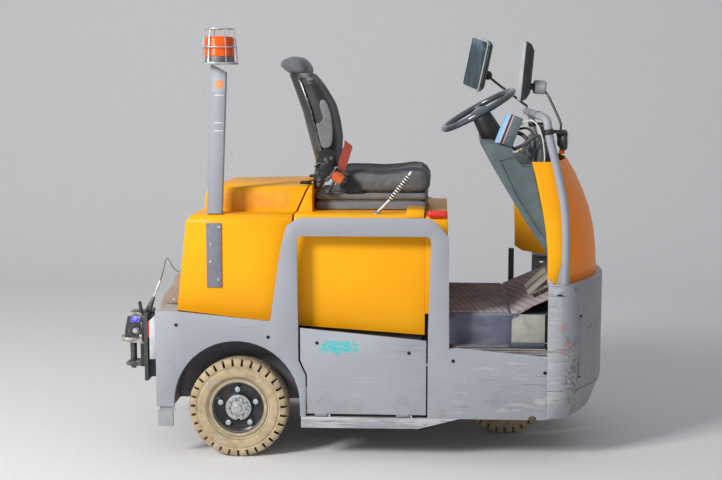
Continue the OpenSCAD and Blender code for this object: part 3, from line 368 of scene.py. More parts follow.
RIDGE_Z = 1.130


def yellow_paint(name, worn=0.0):
    """Moulded yellow hoods: satin gloss, slightly uneven, with a fine orange peel."""
    s = Shader(name)
    deep = (YELLOW[0] * 0.97, YELLOW[1] * 0.88, YELLOW[2])
    color = s.mix(s.spots(0.35, 0.68, 2.2, 3), deep, YELLOW)
    # Painted shade: faces that look forward are painted a deeper orange.
    color = s.over(color, (0.99, 0.215, 0.001), s.step(s.facing("X"), 0.12, 0.75), 0.8)
    # Painted shade: the near face of the raised middle gets darker orange streaks, as strong as the second argument.
    if worn:
        raised = s.times(s.zone(0.012, X=(-0.60, -0.27), Z=(1.035, 1.108)), s.step(s.axis("Y"), -0.27, -0.30))
        painted_light_streaks = s.ramp(s.noise(30, 7, (1, 1, 0.45), 0.7), [(0.36, (0.62, 0.20, 0.07)), (0.52, (0.86, 0.34, 0.06)),
                                                             (0.7, (0.88, 0.42, 0.10))])
        color = s.over(color, painted_light_streaks, raised, worn)
        hinge = s.times(s.step(s.axis("Z"), RIDGE_Z + 0.0005, RIDGE_Z + 0.0015), s.step(s.axis("X"), -0.235, -0.234))
        color = s.mix(hinge, color, (0.02, 0.02, 0.022))
    mottled = s.times(s.spots(0.62, 0.74, 30, 6), 0.14)
    color = s.mix(mottled, color, (0.60, 0.20, 0.01))
    color = s.over(color, (0.92, 0.58, 0.10), s.edges(0.005), s.spots(0.50, 0.62, 50, 3), 0.4)
    dust = s.times(s.up(), s.spots(0.40, 0.80, 12, 4), 0.14)
    color = s.mix(dust, color, (0.66, 0.50, 0.26))
    s.set(color, s.blend(s.noise(6, 4), 0.30, 0.46), 0.0, s.grain(0.05, 0.0006, 190, 2))
    return s.set(Specular_IOR_Level=0.16).material


def dusty(name, color, roughness=0.6, metallic=0.0, dust=0.5, dust_color=(0.36, 0.31, 0.25), scale=18.0, relief=0.12,
          wear=0.0, wear_color=(0.35, 0.33, 0.31), **more):
    """A plain coloured surface with grain, dust on what looks up and, with wear, rubbed edges."""
    s = Shader(name)
    out = s.tone(shade(color, 0.82), shade(color, 1.15), scale, 5)
    lying = s.math("ADD", s.times(s.up(), 0.8), 0.15)
    out = s.over(out, dust_color, lying, s.spots(0.35, 0.72, scale * 0.8, 5), dust)
    if wear:
        out = s.over(out, wear_color, s.edges(0.003), s.spots(0.42, 0.6, scale * 3, 3), wear)
    rough = s.blend(s.noise(scale * 0.6, 3), max(0.05, roughness - 0.08), min(1, roughness + 0.1))
    return s.set(out, rough, metallic, s.grain(relief, 0.0008, scale * 12, 3), **more).material


def tyre_rubber():
    """Natural-coloured solid tyre: dusty, with shaded slots and two moulded lines round its sidewall."""
    s = Shader("dusty_tyre")
    color = s.ramp(s.noise(24, 6), [(0.28, (0.30, 0.225, 0.135)), (0.5, (0.46, 0.36, 0.215)),
                                    (0.75, (0.58, 0.47, 0.30))])
    stain = s.spots(0.60, 0.72, 70, 5)
    color = s.over(color, (0.16, 0.12, 0.08), stain, 0.45)
    tinted = s.times(s.spots(0.50, 0.62, 34, 5), 0.45)
    color = s.mix(tinted, color, s.mix(s.spots(0.45, 0.55, 15, 2), (0.44, 0.27, 0.19), (0.42, 0.40, 0.37)))
    radius = s.wheel_radius()
    for at, tint, amount in ((0.1725, (0.40, 0.20, 0.10), 0.55), (0.181, (0.50, 0.30, 0.16), 0.35),
                             (0.134, (0.09, 0.07, 0.05), 0.8)):
        color = s.over(color, tint, s.band(radius, at - 0.001, at + 0.001, 0.0012), amount)
    color = s.over(color, (0.62, 0.52, 0.36), s.edges(0.004), 0.4)
    across = s.step(s.math("ABSOLUTE", s.facing("Y")), 0.55, 0.25)
    slots = s.times(across, s.step(radius, TYRE_R - 0.0035, TYRE_R - 0.009))
    color = s.over(color, (0.022, 0.017, 0.013), slots, 0.93)
    return s.set(color, 0.88, 0.0, s.grain(0.35, 0.0012, 130, 4)).material


def cast_black():
    """Black casting of the coupling: its flared lips and its roof are worn to bare metal."""
    s = Shader("cast_black")
    color = s.tone((0.022, 0.021, 0.021), (0.062, 0.059, 0.055), 22, 6)
    bare = s.tone((0.30, 0.285, 0.25), (0.60, 0.58, 0.53), 34, 6)
    lip = s.times(s.zone(0.002, Z=(0.388, 0.417)), s.step(s.axis("X"), -0.965, -0.972))
    color = s.over(color, bare, lip, 0.9)
    jaw = s.times(s.step(s.axis("Z"), 0.312, 0.308), s.spots(0.42, 0.58, 30, 5), 0.55)
    color = s.mix(jaw, color, (0.20, 0.235, 0.26))
    roof = s.times(s.band(s.axis("Z"), 0.516, 0.533, 0.003), s.spots(0.38, 0.56, 26, 5), 0.8)
    color = s.mix(roof, color, (0.50, 0.48, 0.43))
    color = s.over(color, (0.42, 0.41, 0.38), s.edges(0.004), s.spots(0.42, 0.6, 40, 4), 0.75)
    return s.set(color, 0.58, 0.15, s.grain(0.35, 0.001, 170, 4)).material


def sticker_blue():
    """A bare blue sticker, rubbed in places."""
    s = Shader("sticker_blue")
    color = s.mix(s.spots(0.46, 0.60, 60, 5), (0.085, 0.085, 0.62), (0.30, 0.31, 0.80))
    return s.set(color, 0.4, 0.0, s.grain(0.1, 0.0004, 220, 2)).material


def release_metal():
    """The release cable: grey-brown rope, a bright crimped sleeve and a dark boot."""
    s = Shader("release_cable")
    z = s.axis("Z")
    rope = s.tone((0.12, 0.11, 0.10), (0.30, 0.28, 0.25), 60, 4, (1, 1, 0.3))
    sleeve = s.tone((0.55, 0.57, 0.60), (0.85, 0.87, 0.90), 60, 3)
    boot = s.tone((0.075, 0.068, 0.060), (0.19, 0.17, 0.15), 40, 5)
    color = s.mix(s.step(z, 0.677, 0.672), rope, sleeve)
    color = s.mix(s.step(z, 0.604, 0.598), color, boot)
    return s.set(color, 0.42, 0.2, s.grain(0.15, 0.0006, 240, 3)).material


def rim_paint():
    """Black disc with a dusty flange and a painted highlight on its lip."""
    s = Shader("rim_black")
    radius = s.wheel_radius()
    disc = s.tone((0.010, 0.010, 0.012), (0.022, 0.021, 0.022), 18, 5)
    dust = s.times(s.spots(0.45, 0.75, 16, 5), 0.16)
    color = s.mix(dust, disc, (0.20, 0.17, 0.14))
    flange = s.tone((0.30, 0.25, 0.17), (0.50, 0.43, 0.31), 26, 5)
    color = s.mix(s.step(radius, 0.1075, 0.1105), color, flange)
    # Painted highlight: a pale ring on the lip, in patches.
    lip = s.band(radius, 0.1045, 0.1065, 0.0008)
    color = s.over(color, (0.45, 0.46, 0.48), lip, s.spots(0.35, 0.6, 9, 3), 0.6)
    rough = s.blend(s.step(radius, 0.107, 0.111), 0.28, 0.8)
    return s.set(color, rough, 0.0, s.grain(0.15, 0.0008, 160, 3)).material


def ribbed_mat():
    """Brown rubber with ribs across the floor, rubbed grey where feet stand."""
    s = Shader("ribbed_mat")
    slanted = s.node("ShaderNodeVectorRotate", {"Vector": s.place(), "Angle": -0.16}, rotation_type="Z_AXIS").outputs[0]
    ribs = s.waves(11.6, 0.3, "X", slanted)
    color = s.tone((0.235, 0.198, 0.210), (0.385, 0.330, 0.345), 30, 6)
    color = s.over(color, (0.46, 0.40, 0.41), s.step(ribs, 0.70, 0.95), 0.4)
    color = s.over(color, (0.165, 0.138, 0.146), s.step(ribs, 0.25, 0.05), 0.5)
    color = s.over(color, (0.46, 0.41, 0.39), s.spots(0.50, 0.66, 6, 5, (1, 1, 1), 0.65), 0.5)
    return s.set(color, 0.85, 0.0, s.bump(ribs, 0.3, 0.0015)).material


def platform_paint():
    """Blue-grey platform: a beige panel beside the bumper, painted as sunlit, and a rubbed, ribbed edge along the step.
    """
    s = Shader("platform_paint")
    color = s.tone((0.088, 0.098, 0.150), (0.125, 0.137, 0.195), 16, 5)
    color = s.over(color, (0.24, 0.24, 0.27), s.spots(0.55, 0.72, 9, 5, (0.6, 1, 2)), 0.35)
    # Painted light: the panel beside the bumper is painted beige, as where the sun falls on it.
    panel = s.times(s.zone(0.001, X=(0.655, 0.84), Y=(-0.50, -0.4155)), s.step(s.axis("Z"), 0.492, 0.496))
    beige = s.tone((0.30, 0.29, 0.26), (0.42, 0.41, 0.38), 28, 6)
    x, z = 0.700, 0.560  # middle of the panel's rounded corner
    cut = s.times(s.step(s.axis("X"), x, x - 0.001), s.step(s.axis("Z"), z, z + 0.001),
                  s.step(s.away(x, z), 0.040, 0.041))
    color = s.over(color, beige, panel, s.math("SUBTRACT", 1.0, cut))
    step = s.times(s.step(s.axis("Y"), -0.435, -0.437), s.step(s.axis("Z"), 0.496, 0.492))
    tread = s.waves(34.0, 0.8, "Z")
    worn = s.tone((0.20, 0.185, 0.165), (0.46, 0.44, 0.40), 20, 6, (0.3, 1, 1))
    color = s.over(color, s.mix(s.step(tread, 0.45, 0.2), worn, (0.05, 0.048, 0.05)), step, 0.9)
    color = s.over(color, (0.40, 0.40, 0.41), s.edges(0.003), s.spots(0.45, 0.6, 60, 3), 0.6)
    return s.set(color, 0.55, 0.0, s.grain(0.15, 0.0008, 200, 3)).material


def vinyl(name, color, crease=0.0, top_shade=0.0, top_highlight=0.0):
    """Matt imitation leather, grained and lightly rubbed.

    Painted shade on what looks up and a painted, streaked highlight across the backrest's top, as strong as the last
    two arguments.
    """
    s = Shader(name)
    cells = s.node("ShaderNodeTexVoronoi", {"Vector": s.place(), "Scale": 520.0}, feature="DISTANCE_TO_EDGE")
    out = s.tone(shade(color, 0.8), shade(color, 1.25), 9, 5)
    out = s.over(out, shade(color, 2.2), s.spots(0.50, 0.72, 34, 5), 0.22)
    # Painted highlight: pale streaks across the backrest's top.
    if top_highlight:
        highlight_mask = s.times(s.zone(0.004, Z=(1.560, 1.612)), s.spots(0.44, 0.60, 26, 6, (1, 1, 2.2), 0.65), top_highlight)
        out = s.mix(highlight_mask, out, (0.30, 0.31, 0.32))
    # Painted shade: what looks up is darkened.
    if top_shade:
        out = s.over(out, (0.014, 0.016, 0.030), s.step(s.facing("Z"), 0.45, 0.85), top_shade)
    normal = s.bump(s.step(cells.outputs["Distance"], 0.0, 0.12), 0.22, 0.0006)
    if crease:
        normal = s.bump(s.noise(26, 4, (1, 1, 1.6), distortion=1.4), crease, 0.004, normal)
    return s.set(out, s.blend(s.noise(12, 3), 0.52, 0.7), 0.0, normal, Sheen_Weight=0.12).material


def webbing(name, color):
    """Woven belt with a slanting weave, soiled in places."""
    s = Shader(name)
    weave = s.waves(210.0, 0.3, "DIAGONAL")
    out = s.mix(s.step(weave, 0.2, 0.8), shade(color, 0.55), color)
    out = s.over(out, shade(color, 0.35), s.spots(0.55, 0.7, 30, 4), 0.35)
    return s.set(out, 0.72, 0.0, s.bump(weave, 0.5, 0.0006), Sheen_Weight=0.3).material


LENS_PITCH = 0.0065  # of the beacon's moulded lines
COIL_PITCH = 0.0122  # of the parking lever's sleeve


def lens(name, color, rough=0.12, rings=0.0):
    """Coloured lamp plastic; rings adds the fine moulded lines of a beacon."""
    s = Shader(name)
    out = s.mix(s.spots(0.35, 0.7, 7, 3), shade(color, 0.8), color)
    normal = s.grain(0.05, 0.0006, 60, 2)
    if rings:
        lines = s.math("SINE", s.times(s.axis("Z"), 2 * math.pi / LENS_PITCH))
        # Painted highlight: the moulded lines are painted paler along their ridges.
        pale = tuple(min(1.0, c * 1.9 + 0.01) for c in color)
        out = s.over(out, pale, s.step(lines, -0.2, 0.8), 0.45)
        out = s.over(out, shade(color, 0.45), s.spots(0.50, 0.68, 22, 4, (1, 1, 0.4)), 0.5)
        normal = s.bump(lines, rings, 0.0008, normal)
    return s.set(out, rough, 0.0, normal, Coat_Weight=0.35, Coat_Roughness=0.08, Specular_IOR_Level=0.35).material


def beacon_foot():
    """Dark moulded body of the beacon on its pale worn flange."""
    s = Shader("beacon_base")
    body = s.tone((0.085, 0.088, 0.088), (0.20, 0.205, 0.205), 18, 5)
    flange = s.tone((0.30, 0.31, 0.31), (0.50, 0.51, 0.51), 24, 5)
    color = s.mix(s.step(s.axis("Z"), 1.6445, 1.6455), flange, body)
    return s.set(color, 0.45, 0.0, s.grain(0.1, 0.0006, 200, 3)).material


def zinc(name, color=STEEL, rough=0.36):
    """Bare or galvanised metal with a few brown stains."""
    s = Shader(name)
    out = s.tone(shade(color, 0.72), color, 70, 4)
    out = s.over(out, (0.30, 0.25, 0.18), s.spots(0.50, 0.72, 18, 4), 0.4)
    return s.set(out, s.blend(s.noise(30, 3), rough, rough + 0.22), 0.85, s.grain(0.12, 0.0006, 240, 3)).material


def mirror_glass():
    """Silvered glass with a painted dark teal-grey reflection in streaks, paler and bluer towards its top."""
    s = Shader("mirror_glass")
    # Painted reflection: the glass's colour is a dark teal-grey, in streaks.
    painted_light_streaks = s.spots(0.36, 0.66, 16, 4, (1, 1, 0.18))
    tone = s.mix(painted_light_streaks, (0.10, 0.155, 0.17), (0.20, 0.275, 0.295))
    # Painted reflection: paler and bluer towards the top.
    tone = s.over(tone, (0.42, 0.56, 0.76), s.step(s.axis("Z"), 1.69, 1.77), s.spots(0.42, 0.58, 11, 3))
    return s.set(tone, s.blend(s.noise(25, 3), 0.05, 0.16), 0.9).material


def mirror_shell():
    """Black housings and rods; the clamp of the right mirror is light grey."""
    s = Shader("mirror_shell")
    tone = s.tone((0.020, 0.021, 0.024), (0.034, 0.035, 0.038), 20, 5)
    tone = s.over(tone, (0.30, 0.28, 0.25), s.spots(0.45, 0.72, 14, 5), 0.14)
    clamp = s.times(s.step(s.axis("X"), 0.7475, 0.7485), s.step(s.axis("Z"), 1.507, 1.511),
                    s.step(s.axis("Y"), -0.3, -0.35))
    grey = s.mix(s.spots(0.4, 0.6, 24, 3), (0.26, 0.28, 0.31), (0.36, 0.39, 0.42))
    tone = s.mix(clamp, tone, s.mix(s.step(s.axis("X"), 0.788, 0.800), grey, (0.10, 0.115, 0.13)))
    return s.set(tone, s.blend(s.noise(12, 3), 0.36, 0.5), 0.0, s.grain(0.12, 0.0006, 220, 3)).material


BELT_Y = -0.264
SPOOL_AT = Vector((-0.067, BELT_Y, 1.167))
SPOOL_TURN = Matrix.Rotation(math.radians(126), 3, "Y")
BOX_AT = Vector((0.617, -0.382, 1.316))
BOX_TURN = Matrix.Rotation(math.radians(12), 3, "Z") @ Matrix.Rotation(math.radians(21.6), 3, "Y")


def box_plastic():
    """Grey terminal box: a pale blue screen on its front, a dark red strip round it and a light one beside it."""
    red = (0.115, 0.004, 0.009)
    s = Shader("box_plastic")
    depth = s.along(BOX_AT, BOX_TURN @ Vector((1, 0, 0)))
    across = s.along(BOX_AT, BOX_TURN @ Vector((0, 1, 0)))
    front, side = s.step(depth, 0.0016, 0.0008), s.step(across, 0.0022, 0.0012)
    color = s.tone((0.125, 0.165, 0.185), (0.165, 0.21, 0.23), 20, 5)
    color = s.over(color, (0.34, 0.38, 0.40), s.edges(0.003), 0.35)
    color = s.over(color, (0.62, 0.50, 0.46), side, s.step(depth, 0.0092, 0.0088))
    color = s.over(color, red, side, s.step(depth, 0.0045, 0.0041))
    blue = s.mix(s.spots(0.4, 0.6, 60, 3), (0.28, 0.52, 0.78), (0.38, 0.66, 0.90))
    color = s.mix(front, color, s.mix(s.step(across, 0.020, 0.0215), red, blue))
    return s.set(color, 0.4, 0.0, s.grain(0.08, 0.0005, 200, 2)).material


def retractor_metal():
    """Retractor bracket: its upper plate painted pale, as lit, and the rest dark, as in shade."""
    s = Shader("bracket_plate")
    height = s.along(SPOOL_AT, SPOOL_TURN @ Vector((0, 0, 1)))
    tone = s.spots(0.35, 0.65, 50, 5)
    dark = s.mix(tone, (0.030, 0.036, 0.045), (0.075, 0.090, 0.110))
    pale = s.mix(tone, (0.20, 0.235, 0.27), (0.38, 0.43, 0.47))
    # Painted light and shade: the upper plate is paler, as lit, and the rest dark, as shaded.
    color = s.mix(s.step(height, -0.018, -0.024), dark, pale)
    color = s.over(color, (0.55, 0.58, 0.60), s.edges(0.0025), s.spots(0.40, 0.6, 90, 3), 0.7)
    return s.set(color, 0.34, 0.55, s.grain(0.12, 0.0006, 260, 3)).material


def banded_coil():
    """The lever's sleeve: dark rubber with painted white highlights on its rings."""
    s = Shader("lever_sleeve")
    height = s.along((0.172, -0.383, 1.094), Vector((0.58, 0.02, 0.81)))
    rings = s.math("SINE", s.times(height, 2 * math.pi / COIL_PITCH))
    # Painted highlight: white bands on the sleeve's rings.
    color = s.mix(s.step(rings, -0.1, 0.5), (0.030, 0.030, 0.032), (0.80, 0.80, 0.78))
    return s.set(color, 0.42, 0.0, s.bump(rings, 0.5, 0.0016)).material


# ---------- modelling ----------

def mesh_object(name, verts, faces):
    mesh = bpy.data.meshes.new(name)
    mesh.from_pydata([tuple(v) for v in verts], [], faces)
    mesh.update()
    made = bpy.data.objects.new(name, mesh)
    bpy.context.scene.collection.objects.link(made)
    return made


def smooth(obj, angle=None):
    for polygon in obj.data.polygons:
        polygon.use_smooth = True
    if angle is not None:
        obj.data.set_sharp_from_angle(angle=math.radians(angle))
    return obj


def loft(name, rings, ends=True):
    """Quads through closed rings of equal length; with ends, the first and the last ring are filled."""
    n = len(rings[0])
    verts = [p for ring in rings for p in ring]
    faces = []
    for j in range(len(rings) - 1):
        for i in range(n):
            k = (i + 1) % n
            faces.append((j * n + i, j * n + k, (j + 1) * n + k, (j + 1) * n + i))
    if ends:
        faces.append(tuple(range(n - 1, -1, -1)))
        faces.append(tuple((len(rings) - 1) * n + i for i in range(n)))
    made = mesh_object(name, verts, faces)
    edit(made, lambda bm: bmesh.ops.recalc_face_normals(bm, faces=bm.faces))
    return made


def edit(obj, action):
    """Runs action on the mesh as a bmesh."""
    bm = bmesh.new()
    bm.from_mesh(obj.data)
    action(bm)
    bm.to_mesh(obj.data)
    bm.free()


def heading(points, i):
    """Direction of a path at its point i."""
    return (points[min(i + 1, len(points) - 1)] - points[max(i - 1, 0)]).normalized()


def circle(count):
    """Cosines and sines of a full turn in equal steps."""
    return [(math.cos(a), math.sin(a)) for a in (2 * math.pi * k / count for k in range(count))]


def upright(axis):
    """Rotation that brings Z to the axis."""
    return Vector(axis).normalized().to_track_quat("Z", "Y").to_matrix()


def frames_along(path):
    """Parallel-transported (point, u, v) along a path."""
    points = [Vector(p) for p in path]
    out, u = [], None
    for i, p in enumerate(points):
        t = heading(points, i)
        if u is None:
            u = t.orthogonal().normalized()
        u = (u - t * u.dot(t)).normalized()
        out.append((p, u, t.cross(u)))
    return out


def tube(name, path, radius, sides):
    """Round bar; radius is a number or a function of the share of the path."""
    rings = []
    frames = frames_along(path)
    for i, (p, u, v) in enumerate(frames):
        r = radius(i / (len(frames) - 1)) if callable(radius) else radius
        rings.append([p + r * (c * u + s * v) for c, s in circle(sides)])
    return smooth(loft(name, rings), 50)


def strap(name, path, across, width, thick):
    """Flat webbing along a path; across is the direction of its width."""
    rings = []
    side = Vector(across).normalized()
    points = [Vector(p) for p in path]
    for i, p in enumerate(points):
        n = heading(points, i).cross(side).normalized()
        rings.append([p + side * x * width / 2 + n * y * thick / 2
                      for x, y in ((-1, -1), (-0.5, -1.15), (0.5, -1.15), (1, -1),
                                   (1, 1), (0.5, 1.15), (-0.5, 1.15), (-1, 1))])
    return smooth(loft(name, rings), 50)


def curve_points(points, count):
    """Catmull-Rom through points."""
    p = [Vector(q) for q in points]
    p = [2 * p[0] - p[1]] + p + [2 * p[-1] - p[-2]]
    spans = len(p) - 3
    out = []
    for i in range(count):
        s = i / (count - 1) * spans
        k = min(int(s), spans - 1)
        t = s - k
        a, b, c, d = p[k:k + 4]
        out.append(0.5 * (2 * b + (c - a) * t + (2 * a - 5 * b + 4 * c - d) * t * t
                          + (3 * b - a - 3 * c + d) * t ** 3))
    return out


def lathe(name, profile, at, axis, sides):
    """profile is (radius, height) pairs, turned round axis through at."""
    turn, at = upright(axis), Vector(at)
    rings = [[at + turn @ Vector((r * c, r * s, h)) for c, s in circle(sides)] for r, h in profile]
    return smooth(loft(name, rings), 35)


def rounded_block(name, size, at, radius, segments):
    """A block with rounded edges."""
    bm = bmesh.new()
    bmesh.ops.create_cube(bm, size=1)
    bmesh.ops.scale(bm, vec=size, verts=bm.verts)
    bmesh.ops.bevel(bm, geom=bm.edges[:], offset=radius, segments=segments, profile=0.5, affect="EDGES")
    bmesh.ops.translate(bm, vec=at, verts=bm.verts)
    made = mesh_object(name, [], [])
    bm.to_mesh(made.data)
    bm.free()
    return smooth(made, 40)


def hex_bolt(name, at, axis, across, height, washer):
    """A hexagon head with its chamfer on a washer."""
    turn, at = upright(axis), Vector(at)
    rings = []
    for r, h, hexagonal in ((washer, 0, False), (washer, 0.0016, False), (across * 0.56, 0.0017, True),
                            (across * 0.56, height * 0.8, True), (across * 0.47, height, False)):
        ring = []
        for k in range(24):
            a = 2 * math.pi * k / 24
            reach = r
            if hexagonal:
                b = (a + math.pi / 6) % (math.pi / 3) - math.pi / 6
                reach = r * math.cos(math.pi / 6) / math.cos(b)
            ring.append(at + turn @ Vector((reach * math.cos(a), reach * math.sin(a), h)))
        rings.append(ring)
    return smooth(loft(name, rings), 30)


def join(name, parts):
    """One mesh from several."""
    verts, faces = [], []
    for part in parts:
        base = len(verts)
        verts += [part.matrix_world @ v.co for v in part.data.vertices]
        for polygon in part.data.polygons:
            faces.append([base + i for i in polygon.vertices])
    made = mesh_object(name, verts, faces)
    for part in parts:
        bpy.data.objects.remove(part)
    return smooth(made, 35)


def dress(obj, material, body, slot, *replaced):
    obj.data.materials.clear()
    obj.data.materials.append(material)
    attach(obj, body)
    if replaced:
        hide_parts(*replaced)
    return obj


def apply_modifiers(obj):
    """Replaces the mesh by what its modifiers make of it."""
    bpy.context.view_layer.update()
    evaluated = obj.evaluated_get(bpy.context.evaluated_depsgraph_get())
    mesh = bpy.data.meshes.new_from_object(evaluated)
    obj.modifiers.clear()
    obj.data = mesh


def soften_edges():
    """Gives the frame's own solids small bevelled edges, so that they catch the light."""
    sharp = 38  # degrees
    for obj in NODES.values():
        weld = obj.modifiers.new("weld", "WELD")
        weld.merge_threshold = 0.00002
        bevel = obj.modifiers.new("bevel", "BEVEL")
        bevel.width = 0.0012
        bevel.segments = 2
        bevel.limit_method = "ANGLE"
        bevel.angle_limit = math.radians(sharp)
        bevel.harden_normals = True
        smooth(obj, sharp)


# ---------- soft parts ----------

def rounded_ring(center, up, half_w, half_t, power, count, lift):
    """A superellipse in the plane of Y and up; lift(u) raises it where u runs from -1 to 1 over the width."""
    ring = []
    for c, s in circle(count):
        x = math.copysign(abs(c) ** (2 / power), c)
        y = math.copysign(abs(s) ** (2 / power), s)
        ring.append(center + Vector((0, 1, 0)) * (x * half_w) + up * (y * half_t + lift(x) * max(0.0, y)))
    return ring


def puff(obj, voxel, pressure, cap):
    """Voxel remesh, then cloth blown up by pressure, each point moving at most cap."""
    remesh = obj.modifiers.new("remesh", "REMESH")
    remesh.mode = "VOXEL"
    remesh.voxel_size = voxel
    apply_modifiers(obj)
    rest = [v.co.copy() for v in obj.data.vertices]
    cloth = obj.modifiers.new("cloth", "CLOTH")
    cloth.settings.quality = 5
    cloth.settings.use_pressure = True
    cloth.settings.uniform_pressure_force = pressure
    cloth.settings.effector_weights.gravity = 0
    cloth.settings.tension_stiffness = 30
    cloth.settings.bending_stiffness = 4
    cloth.point_cache.frame_start = 1
    cloth.point_cache.frame_end = PADDING_STEPS
    scene = bpy.context.scene
    for number in range(1, PADDING_STEPS + 1):
        scene.frame_set(number)
    evaluated = obj.evaluated_get(bpy.context.evaluated_depsgraph_get())
    moved = [v.co.copy() for v in evaluated.data.vertices]
    obj.modifiers.clear()
    for vertex, start, end in zip(obj.data.vertices, rest, moved):
        step = end - start
        if step.length > cap:
            step *= cap / step.length
        vertex.co = start + step
    scene.frame_set(1)
    relax = obj.modifiers.new("relax", "SMOOTH")
    relax.factor = 0.5
    relax.iterations = 4
    apply_modifiers(obj)
    return smooth(obj)


CUSHION_ROWS = [
    # x, top, bottom and half width in mm
    (-82, 1176, 1104, 196), (-70, 1186, 1100, 214), (-30, 1186, 1098, 226), (40, 1183, 1098, 232),
    (120, 1179, 1098, 234), (190, 1184, 1098, 234), (250, 1194, 1098, 231), (286, 1196, 1100, 225),
    (312, 1181, 1106, 212), (327, 1160, 1120, 194),
]


def seat_cushion(material):
    """The seat's cushion, with raised sides and a hollow between them."""
    def bolster(u):
        return (0.011 if abs(u) > 0.7 else -0.005) * min(1.0, abs(abs(u) - 0.7) * 7)
    rings = []
    for x, top, bottom, half in CUSHION_ROWS:
        center = Vector((x, 0, (top + bottom) / 2)) * MM
        rings.append(rounded_ring(center, Vector((0, 0, 1)), half * MM, (top - bottom) / 2 * MM, 7.0, 56, bolster))
    body = loft("seat_cushion_form", rings)
    puff(body, 0.007, 3.0, 0.006)
    dress(body, material, "lid", "seat_fabric", "seat_cushion")


BACK_ROWS = [
    # rear x and z, front x and z, and half width in mm
    (-158, 1176, -112, 1176, 178), (-164, 1200, -92, 1206, 200), (-168, 1240, -79, 1262, 212),
    (-184, 1300, -75, 1326, 219), (-203, 1372, -86, 1400, 218), (-222, 1444, -108, 1476, 209),
    (-246, 1508, -142, 1534, 193), (-266, 1560, -171, 1576, 177), (-280, 1594, -190, 1598, 162),
    (-284, 1603, -197, 1606, 152),
]
HEAD_ROWS = [
    (-296, 1606, -204, 1598, 142), (-316, 1620, -198, 1615, 152), (-333, 1637, -202, 1634, 154),
    (-330, 1655, -215, 1653, 148), (-308, 1669, -230, 1667, 134), (-280, 1677, -246, 1676, 108),
]


def back_ring(row, hollow):
    """One ring of the backrest, hollowed between its sides."""
    rear, front = Vector((row[0], 0, row[1])) * MM, Vector((row[2], 0, row[3])) * MM
    forward = front - rear
    return rounded_ring((rear + front) / 2, forward.normalized(), row[4] * MM, forward.length / 2, 3.6, 44,
                        lambda u: -hollow * max(0.0, 1 - (abs(u) / 0.68) ** 2))


def seat_back(material, shell_material):
    """Backrest and head roll, with the shell, the side pads and the recliner that go with them."""
    body = loft("seat_back_form", [back_ring(row, hollow=0.016) for row in BACK_ROWS])
    puff(body, 0.008, 2.5, 0.006)
    dress(body, material, "lid", "seat_fabric", "seat_back")
    head = loft("seat_head_form", [back_ring(row, hollow=0.004) for row in HEAD_ROWS])
    puff(head, 0.007, 2.0, 0.005)
    dress(head, M["pad_vinyl"], "lid", "seat_fabric")
    add_back_shell(shell_material)
    add_back_pads(M["pad_vinyl"])
    add_back_frame()


def add_back_shell(material):
    """The moulded shell behind the backrest, wrapping round its sides."""
    wrap, thick = 0.036, 0.005
    rings = []
    for row in BACK_ROWS:
        rear = Vector((row[0], 0, row[1])) * MM
        front = Vector((row[2], 0, row[3])) * MM
        forward = (front - rear).normalized()
        half = row[4] * MM + 0.004
        ring = []
        for u in [i / 12 for i in range(-12, 13)]:
            lean = max(0.0, abs(u) - 0.8) / 0.2
            ring.append(rear + Vector((0, u * half, 0)) + forward * (wrap * lean * lean - 0.003))
        rings.append(ring + [p + forward * thick for p in reversed(ring)])
    dress(smooth(loft("seat_back_shell", rings), 40), material, "lid", "seat_plastic")


def add_back_pads(material):
    """Raised side pads on the lower half of the backrest's flanks, notched behind their tops."""
    outline = [(-164, 1386), (-162, 1393), (-148, 1392), (-136, 1404), (-130, 1424), (-138, 1445), (-147, 1460),
               (-147, 1486), (-133, 1497), (-120, 1487), (-107, 1460), (-97, 1424), (-92, 1385), (-90, 1343),
               (-94, 1303), (-104, 1288), (-130, 1282), (-143, 1296), (-152, 1342)]
    for side, name in SIDES:
        rings = []
        center = Vector((-115, 0, 1380)) * MM
        for y, grow in ((206, 0.96), (219, 1.0), (224, 0.99), (226.5, 0.94)):
            off = Vector((0, side * y * MM, 0))
            rings.append([center + (Vector((x, 0, z)) * MM - center) * grow + off for x, z in outline])
        pad = loft("seat_side_pad_" + name, rings)
        modifier = pad.modifiers.new("subdivision", "SUBSURF")
        modifier.levels = modifier.render_levels = 2
        apply_modifiers(pad)
        smooth(pad)
        dress(pad, material, "lid", "seat_fabric")


def slab(name, outline, y, half):
    """A plate with the outline, given as x and z in mm, from y - half to y + half, with bevelled faces."""
    points = [Vector((x, 0, z)) for x, z in outline]
    middle = Vector((sum(p.x for p in points) / len(points), 0, sum(p.z for p in points) / len(points)))
    rings = []
    for off, grow in ((-half, 0.94), (-half * 0.6, 1.0), (half * 0.6, 1.0), (half, 0.94)):
        rings.append([(middle + (p - middle) * grow) * MM + Vector((0, y + off, 0)) for p in points])
    return smooth(loft(name, rings), 40)


# Outlines in x and z, in mm
RECLINER = [(-154, 1272), (-122, 1284), (-92, 1276), (-74, 1250), (-74, 1216), (-92, 1184), (-116, 1158),
            (-146, 1112), (-166, 1106), (-176, 1130), (-174, 1167), (-163, 1214)]
COVER = [(-50, 1166), (-28, 1172), (-10, 1168), (6, 1152), (18, 1134), (27, 1114), (32, 1099), (-10, 1098),
         (-46, 1100), (-58, 1122), (-60, 1146)]


